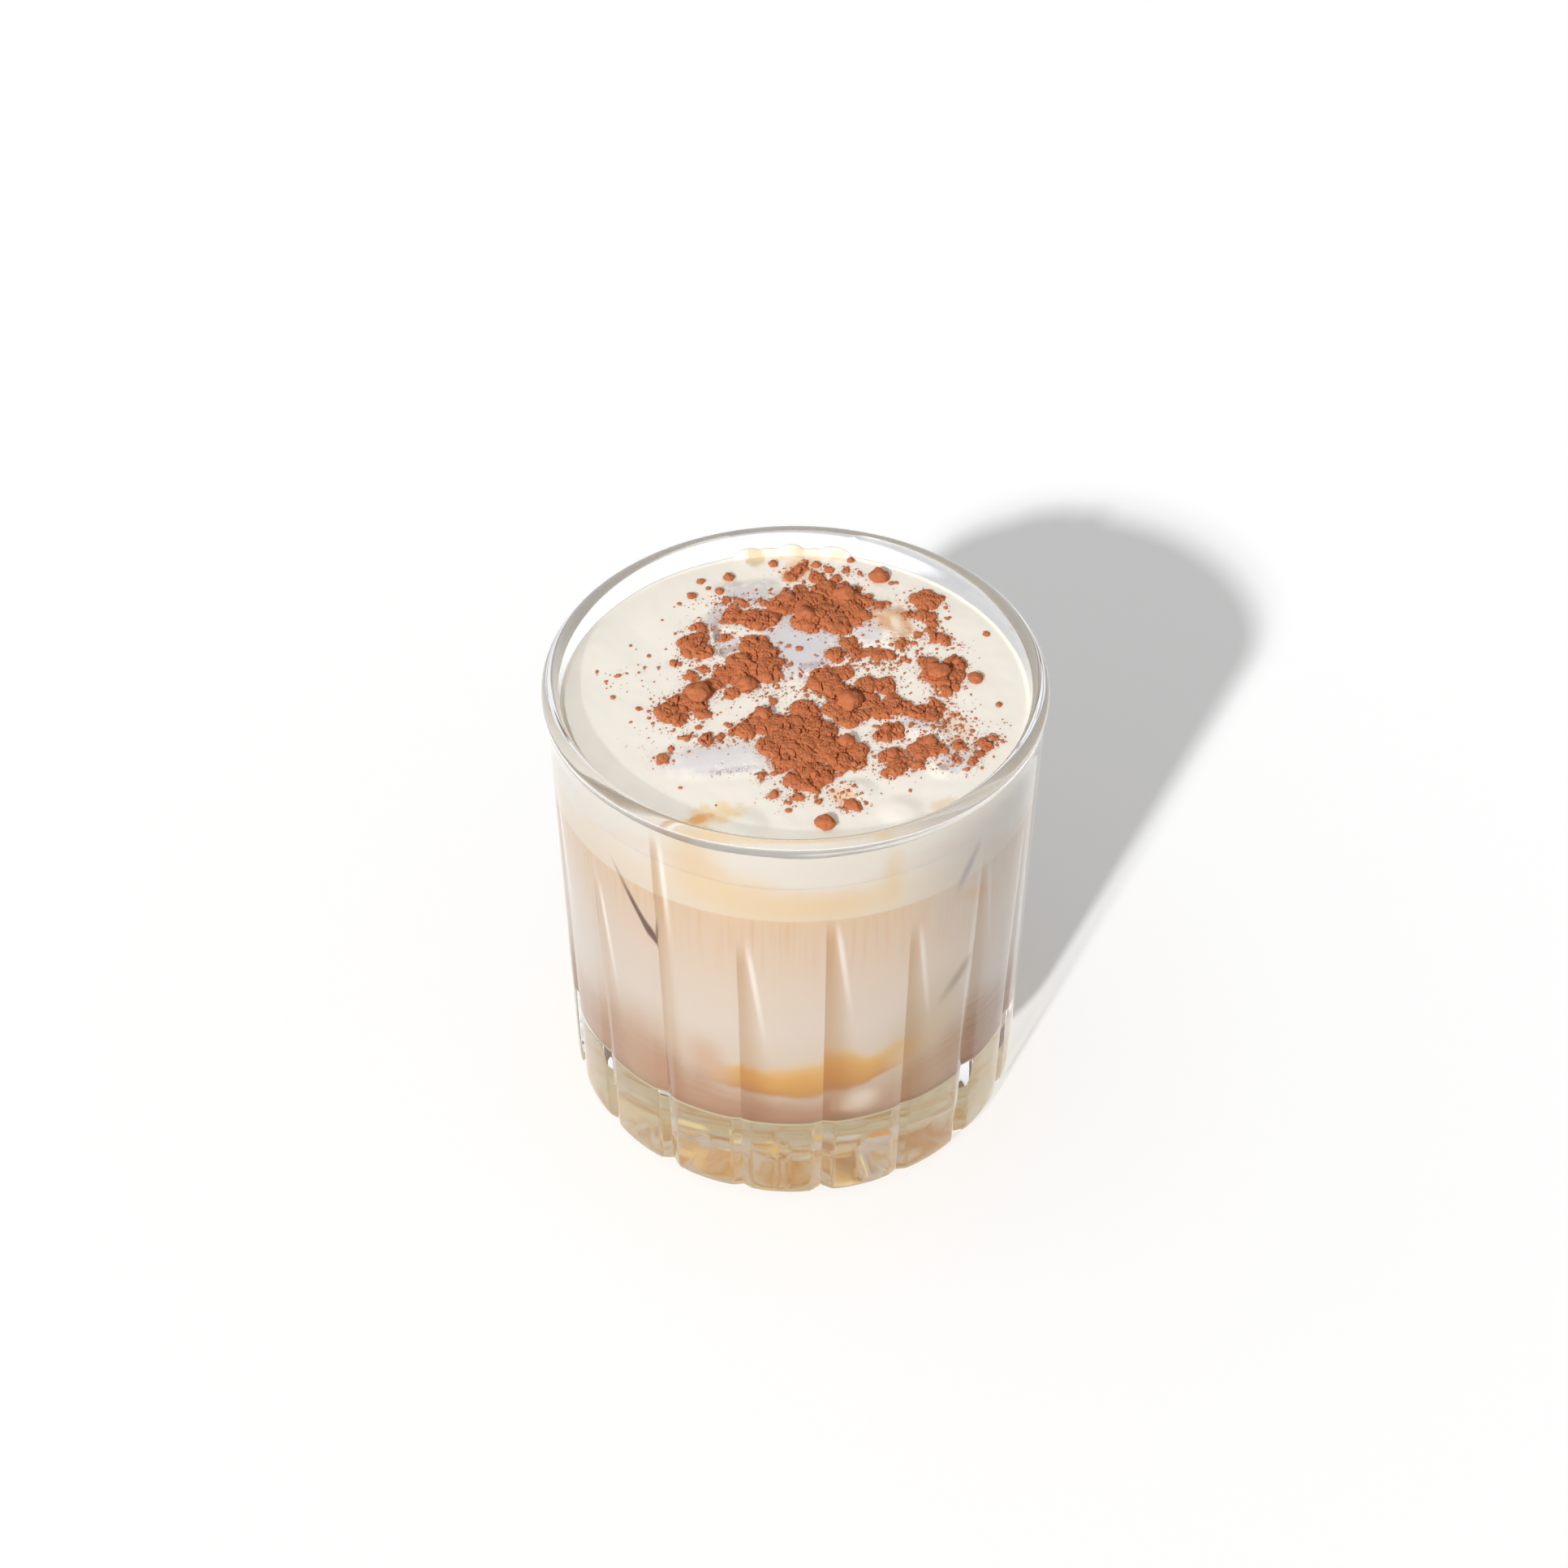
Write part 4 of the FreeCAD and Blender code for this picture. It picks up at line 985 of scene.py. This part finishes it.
def underside(tree, at):
    """The underside of the drink, which the base shows: olive and amber, blotched and streaked, with painted
    glints and refractions of the base laid over it.
    """
    wide = add(tree, "ShaderNodeVectorMath", {0: at.place, 1: (1 / 2.6, 1 / 5.0, 0.0)},
               operation="MULTIPLY")
    blotch = add(tree, "ShaderNodeTexNoise", {"Vector": wide.outputs[0], "Scale": 1.0, "Detail": 3.0,
                                              "Distortion": 0.8}).outputs[0]
    under = add(tree, "ShaderNodeValToRGB", {0: blotch}, stops=[
        (0.34, linear("#B0905E")), (0.46, linear("#BFA67E")), (0.56, linear("#B5A98C")),
        (0.68, linear("#C6B490"))])
    near = add(tree, "ShaderNodeMapRange", {"Value": at.y, "From Min": 2.0, "From Max": -5.0,
                                            "To Max": 0.7}, interpolation_type="SMOOTHSTEP").outputs[0]
    under = add(tree, "ShaderNodeMix", {0: near, 6: under.outputs[0], 7: linear("#BC9560")},
                data_type="RGBA").outputs[2]
    thin = add(tree, "ShaderNodeVectorMath", {0: at.place, 1: (1 / 5.0, 1 / 1.6, 0.0)},
               operation="MULTIPLY")
    lines = add(tree, "ShaderNodeTexNoise", {"Vector": thin.outputs[0], "Scale": 1.0, "Detail": 3.0})
    lined = add(tree, "ShaderNodeMapRange", {"Value": lines.outputs[0], "From Min": 0.5, "From Max": 0.7,
                                             "To Max": 0.5}).outputs[0]
    under = add(tree, "ShaderNodeMix", {0: lined, 6: under, 7: linear("#A5804F")},
                data_type="RGBA").outputs[2]

    # Painted glints of amber, grey and cream light, about 1 mm by 3 mm, on the front half and the middle.
    small = add(tree, "ShaderNodeVectorMath", {0: at.place, 1: (1 / 0.9, 1 / 3.2, 0.0)},
                operation="MULTIPLY")
    glint_noise = add(tree, "ShaderNodeTexNoise", {"Vector": small.outputs[0], "Scale": 1.0, "Detail": 2.0,
                                              "Roughness": 0.6, "Distortion": 0.5})
    glint_colours = add(tree, "ShaderNodeValToRGB", {0: glint_noise.outputs[0]}, stops=[
        (0.34, linear("#9E7444")), (0.42, linear("#C0904E")), (0.48, linear("#BFA47A")),
        (0.54, linear("#BFB2A4")), (0.6, linear("#C0A67C")), (0.68, linear("#EAD6A2"))])
    front = add(tree, "ShaderNodeMapRange", {"Value": at.y, "From Min": 9.0, "From Max": 5.0,
                                             "To Max": 0.75}, interpolation_type="SMOOTHSTEP").outputs[0]
    under = add(tree, "ShaderNodeMix", {0: front, 6: under, 7: glint_colours.outputs[0]},
                data_type="RGBA").outputs[2]
    # Painted glints and refractions of the base, one by one.
    for tint, middle_x, middle_y, half_x, half_y, soft, strength in UNDER_GLINTS:
        off = add(tree, "ShaderNodeVectorMath", {0: at.place, 1: (middle_x, middle_y, 0.0)},
                  operation="SUBTRACT")
        spot = add(tree, "ShaderNodeVectorMath", {0: off.outputs[0], 1: (1 / half_x, 1 / half_y, 0.0)},
                   operation="MULTIPLY")
        away = add(tree, "ShaderNodeVectorMath", {0: spot.outputs[0]}, operation="LENGTH").outputs["Value"]
        away = add(tree, "ShaderNodeMath", {0: at.edge, 1: 0.5, 2: away},
                   operation="MULTIPLY_ADD").outputs[0]
        mask = add(tree, "ShaderNodeMapRange", {"Value": away, "From Min": 1 + soft, "From Max": 1 - soft,
                                                "To Max": strength}, interpolation_type="SMOOTHSTEP")
        under = add(tree, "ShaderNodeMix", {0: mask.outputs[0], 6: under, 7: linear(tint)},
                    data_type="RGBA").outputs[2]
    corner = add(tree, "ShaderNodeMapRange", {"Value": at.z, "From Min": BASE_THICKNESS,
                                              "From Max": BASE_THICKNESS + 0.8}).outputs[0]
    return add(tree, "ShaderNodeMix", {0: corner, 6: under, 7: linear("#AD9C7A")},
               data_type="RGBA").outputs[2]


def drink_paint():
    """Node group that gives the drink's colour at a place, and how strongly its underside carries a painted
    glow for the light that the clear base carries under it."""
    tree = bpy.data.node_groups.new("drink_paint", "ShaderNodeTree")
    tree.interface.new_socket(name="Color", in_out="OUTPUT", socket_type="NodeSocketColor")
    tree.interface.new_socket(name="Glow", in_out="OUTPUT", socket_type="NodeSocketFloat")
    result = add(tree, "NodeGroupOutput")
    at = drink_places(tree)
    drink = colour_by_height(tree, at.bent, DRINK_BANDS)
    drink = caramel(tree, at, bled_and_sunk(tree, at, drink))
    side = light_from_cuts(tree, at, marked(tree, at, cream_over_drink(tree, at, drink)))
    low = add(tree, "ShaderNodeMapRange", {"Value": at.z, "From Min": BASE_THICKNESS + 2.3,
                                           "From Max": BASE_THICKNESS + 1.9}).outputs[0]
    colour = add(tree, "ShaderNodeMix", {0: low, 6: side, 7: underside(tree, at)},
                 data_type="RGBA").outputs[2]
    tree.links.new(colour, result.inputs["Color"])
    tree.links.new(low, result.inputs["Glow"])
    return tree


def drink_material(name, paint):
    """Milky coffee behind glass: cloudy, so it shows its own colour with no gloss of its own.

    Its underside carries a painted glow, an emission for the light that the thick clear base gathers and
    carries under it."""
    material, tree, output = new_material(name)
    colour, glow = add(tree, "ShaderNodeGroup", node_tree=paint).outputs
    # Painted glow on the drink's underside.
    strength = add(tree, "ShaderNodeMath", {0: glow, 1: CARRIED_GLOW}, operation="MULTIPLY")
    shader = add(tree, "ShaderNodeBsdfPrincipled", {
        "Base Color": colour, "Roughness": 0.5, "Specular IOR Level": 0.0, "Emission Color": colour,
        "Emission Strength": strength.outputs[0]})
    tree.links.new(shader.outputs[0], output.inputs["Surface"])
    return material


def whipped_cream(paint):
    """Lightly whipped salted cream: warm white, satin, with light sinking a millimetre in.

    Over ice the film is thin, cool and greyish; fine cocoa dust settles beside the heaps."""
    material, tree, output = new_material("whipped_salt_cream")
    place = place_in_mm(tree)
    level = add(tree, "ShaderNodeVectorMath", {0: place, 1: (1.0, 1.0, 0.0)}, operation="MULTIPLY")
    radius = add(tree, "ShaderNodeVectorMath", {0: level.outputs[0]}, operation="LENGTH").outputs["Value"]
    mouth = inner_radius(CREAM_LEVEL)
    top = add(tree, "ShaderNodeMapRange", {"Value": radius, "From Min": mouth + 0.05,
                                           "From Max": mouth - 0.05}).outputs[0]
    side = add(tree, "ShaderNodeGroup", node_tree=paint).outputs[0]
    tint = add(tree, "ShaderNodeAttribute", attribute_name="cream_tint").outputs
    open_cream = add(tree, "ShaderNodeMix", {0: tint["Alpha"], 6: linear("#F8F0E4"), 7: tint["Color"]},
                     data_type="RGBA").outputs[2]

    # Dust: specks that are really about 0.15 mm across, drawn at 0.36 mm so that they show.
    specks = add(tree, "ShaderNodeTexNoise", {"Vector": place, "Scale": 1 / 0.36, "Detail": 2.0,
                                              "Roughness": 0.6})
    dust = add(tree, "ShaderNodeAttribute", attribute_name="cocoa_dust").outputs["Fac"]
    limit = add(tree, "ShaderNodeMapRange", {"Value": dust, "To Min": 0.84, "To Max": 0.53})
    over = add(tree, "ShaderNodeMath", {0: specks.outputs[0], 1: limit.outputs[0]}, operation="SUBTRACT")
    speck = add(tree, "ShaderNodeMapRange", {"Value": over.outputs[0], "From Max": 0.05, "To Max": 0.85})
    dusted = add(tree, "ShaderNodeMix", {0: speck.outputs[0], 6: open_cream, 7: linear("#C07A50")},
                 data_type="RGBA").outputs[2]
    colour = add(tree, "ShaderNodeMix", {0: top, 6: side, 7: dusted}, data_type="RGBA").outputs[2]
    shader = add(tree, "ShaderNodeBsdfPrincipled", {
        "Base Color": colour, "Roughness": 0.34, "Subsurface Weight": 0.5,
        "Subsurface Radius": (1.0, 0.75, 0.55), "Subsurface Scale": 1.0 * MM, "Specular IOR Level": 0.3})
    tree.links.new(shader.outputs[0], output.inputs["Surface"])
    return material


def clear_ice():
    """Melting ice: clear and wet, so it shows the cream behind it and catches the light on its edges."""
    material, tree, output = new_material("clear_wet_ice")
    shader = add(tree, "ShaderNodeBsdfPrincipled", {
        "Base Color": linear("#DAD5D6"), "Roughness": 0.04, "IOR": 1.31, "Transmission Weight": 1.0})
    path = add(tree, "ShaderNodeLightPath")
    through = add(tree, "ShaderNodeBsdfTransparent", {"Color": (0.9, 0.9, 0.9, 1.0)})
    mixed = add(tree, "ShaderNodeMixShader", {0: path.outputs["Is Shadow Ray"], 1: shader.outputs[0],
                                              2: through.outputs[0]})
    tree.links.new(mixed.outputs[0], output.inputs["Surface"])
    return material


def cocoa_powder():
    """Dry cocoa: matt red-brown, velvety and clumped. Its grain is really about a tenth of a
    millimetre, drawn at 0.26 mm so that it shows."""
    material, tree, output = new_material("dry_cocoa_powder")
    place = add(tree, "ShaderNodeTexCoord").outputs["Object"]
    grain = add(tree, "ShaderNodeTexNoise", {"Vector": place, "Scale": 1 / (0.26 * MM), "Detail": 3.0,
                                             "Roughness": 0.65})
    shade = add(tree, "ShaderNodeTexNoise", {"Vector": place, "Scale": 1 / (2.5 * MM), "Detail": 2.0})
    ramp = add(tree, "ShaderNodeValToRGB", {0: grain.outputs[0]}, stops=[
        (0.3, linear("#A55C38")), (0.62, linear("#C17952"))])
    light = add(tree, "ShaderNodeMapRange", {"Value": shade.outputs[0], "From Min": 0.3, "From Max": 0.7,
                                             "To Max": 0.5})
    colour = add(tree, "ShaderNodeMix", {0: light.outputs[0], 6: ramp.outputs[0], 7: linear("#BE6B43")},
                 data_type="RGBA").outputs[2]
    bump = add(tree, "ShaderNodeBump", {"Height": grain.outputs[0], "Strength": 0.7, "Distance": 0.12 * MM})
    shader = add(tree, "ShaderNodeBsdfPrincipled", {"Base Color": colour, "Roughness": 0.95,
                                                    "Specular IOR Level": 0.1, "Normal": bump.outputs[0]})
    tree.links.new(shader.outputs[0], output.inputs["Surface"])
    return material


# ---------------------------------------------------------------- floor, light and camera

# The floor lies a hair under the foot, in millimetres.
FLOOR_DROP = 0.15
# The key light: strength, and in degrees its width, how far it shines round to the right from straight
# ahead, and how steeply it falls.
KEY_STRENGTH = 3.15
KEY_WIDTH_DEG = 2.2
KEY_TURN_DEG = 27.5
KEY_FALL_DEG = 30.3
# The camera: lens and sensor, angle above level, distance from what it aims at, and where that is.
LENS = 56.23
SENSOR_WIDTH = 36.0
EYE_ELEVATION_DEG = 42.108
EYE_DISTANCE = 441.42
AIM_X = -1.979
AIM_HEIGHT = 65.038


def rays_from_eye(tree, path):
    """1 where the camera sees a place straight, mirrored or through glass, and 0 where it only lights."""
    seen = add(tree, "ShaderNodeMath", {0: path.outputs["Is Camera Ray"],
                                        1: path.outputs["Is Glossy Ray"]}, operation="MAXIMUM")
    return add(tree, "ShaderNodeMath", {0: seen.outputs[0], 1: path.outputs["Is Transmission Ray"]},
               operation="MAXIMUM").outputs[0]


def white_floor():
    """A plain white sweep that keeps the object's shadow."""
    bm = bmesh.new()
    bmesh.ops.create_grid(bm, x_segments=1, y_segments=1, size=3.0)
    mesh = bpy.data.meshes.new("floor")
    bm.to_mesh(mesh)
    bm.free()
    material, tree, output = new_material("white_sweep")
    path = add(tree, "ShaderNodeLightPath")
    seen = rays_from_eye(tree, path)
    plain = add(tree, "ShaderNodeBsdfDiffuse", {"Color": (0.6, 0.6, 0.6, 1.0)})
    white = add(tree, "ShaderNodeBsdfDiffuse", {"Color": (0.92, 0.92, 0.92, 1.0)})
    lift = add(tree, "ShaderNodeMapRange", {"Value": path.outputs["Is Camera Ray"], "To Min": 0.28,
                                            "To Max": 0.12})
    glow = add(tree, "ShaderNodeEmission", {"Color": (1.0, 1.0, 1.0, 1.0), "Strength": lift.outputs[0]})
    lifted = add(tree, "ShaderNodeAddShader", {0: white.outputs[0], 1: glow.outputs[0]})
    mixed = add(tree, "ShaderNodeMixShader", {0: seen, 1: plain.outputs[0], 2: lifted.outputs[0]})
    tree.links.new(mixed.outputs[0], output.inputs["Surface"])
    mesh.materials.append(material)
    mesh.transform(Matrix.Translation((0, 0, -FLOOR_DROP * MM)))
    floor = bpy.data.objects.new("floor", mesh)
    bpy.context.scene.collection.objects.link(floor)


def studio():
    """A low sun-like key from the front left, and a room that is bright all round and dim overhead."""
    key = bpy.data.lights.new("key", "SUN")
    key.energy = KEY_STRENGTH
    key.angle = math.radians(KEY_WIDTH_DEG)
    lamp = bpy.data.objects.new("key", key)
    turn = math.radians(KEY_TURN_DEG)
    towards = Vector((math.sin(turn), math.cos(turn), -math.tan(math.radians(KEY_FALL_DEG))))
    lamp.rotation_euler = towards.to_track_quat("-Z", "Y").to_euler()
    bpy.context.scene.collection.objects.link(lamp)

    world = bpy.data.worlds.new("room")
    bpy.context.scene.world = world
    world.use_nodes = True
    tree = world.node_tree
    tree.nodes.clear()
    output = add(tree, "ShaderNodeOutputWorld")
    direction = add(tree, "ShaderNodeTexCoord").outputs["Generated"]
    axes = add(tree, "ShaderNodeSeparateXYZ", {0: direction})
    overhead = add(tree, "ShaderNodeMapRange", {
        "Value": axes.outputs[2], "From Min": 0.15, "From Max": 0.75, "To Min": 0.92,
        "To Max": 0.41}, interpolation_type="SMOOTHSTEP")
    sideways = add(tree, "ShaderNodeMapRange", {
        "Value": axes.outputs[0], "From Min": -0.8, "From Max": 0.8, "To Min": 1.05, "To Max": 0.7})
    room = add(tree, "ShaderNodeMath", {0: overhead.outputs[0], 1: sideways.outputs[0]},
               operation="MULTIPLY")
    seen = rays_from_eye(tree, add(tree, "ShaderNodeLightPath"))
    strength = add(tree, "ShaderNodeMix", {0: seen, 2: room.outputs[0], 3: 1.0})
    background = add(tree, "ShaderNodeBackground", {"Color": (1.0, 1.0, 1.0, 1.0),
                                                    "Strength": strength.outputs[0]})
    tree.links.new(background.outputs[0], output.inputs["Surface"])


def camera():
    """Looks down on the glass from the front."""
    data = bpy.data.cameras.new("camera")
    data.lens = LENS
    data.sensor_width = SENSOR_WIDTH
    data.clip_start = 0.01
    eye = bpy.data.objects.new("camera", data)
    elevation = math.radians(EYE_ELEVATION_DEG)
    distance = EYE_DISTANCE * MM
    eye.location = (AIM_X * MM, -distance * math.cos(elevation),
                    AIM_HEIGHT * MM + distance * math.sin(elevation))
    eye.rotation_euler = (math.radians(90) - elevation, 0.0, 0.0)
    bpy.context.scene.collection.objects.link(eye)
    bpy.context.scene.camera = eye


# ---------------------------------------------------------------- putting it together

bpy.context.scene.view_settings.view_transform = "Standard"
camera()
studio()
white_floor()

paint = drink_paint()
glass(clear_glass())
drink_layer("dark_coffee", floor_of_bowl, coffee_top, drink_material("cloudy_coffee", paint),
            "coffee_base")
drink_layer("coffee_syrup", coffee_top, syrup_top, drink_material("coffee_syrup", paint),
            "syrup_band")
drink_layer("milk_coffee_body", syrup_top, milk_top, drink_material("milk_coffee", paint),
            "milk_coffee")
drink_layer("stained_cream_body", milk_top, stained_top, drink_material("stained_cream", paint),
            "stained_cream")
cream(whipped_cream(paint))
ice = clear_ice()
ice_blocks(ice)
bubbles(ice)
powder = cocoa_powder()
for heap_number, heap_lumps in enumerate(HEAPS, start=1):
    cocoa_heap(heap_number, heap_lumps, powder)
cocoa_patches(powder)
cocoa_clumps(powder)
cocoa_grains(powder)
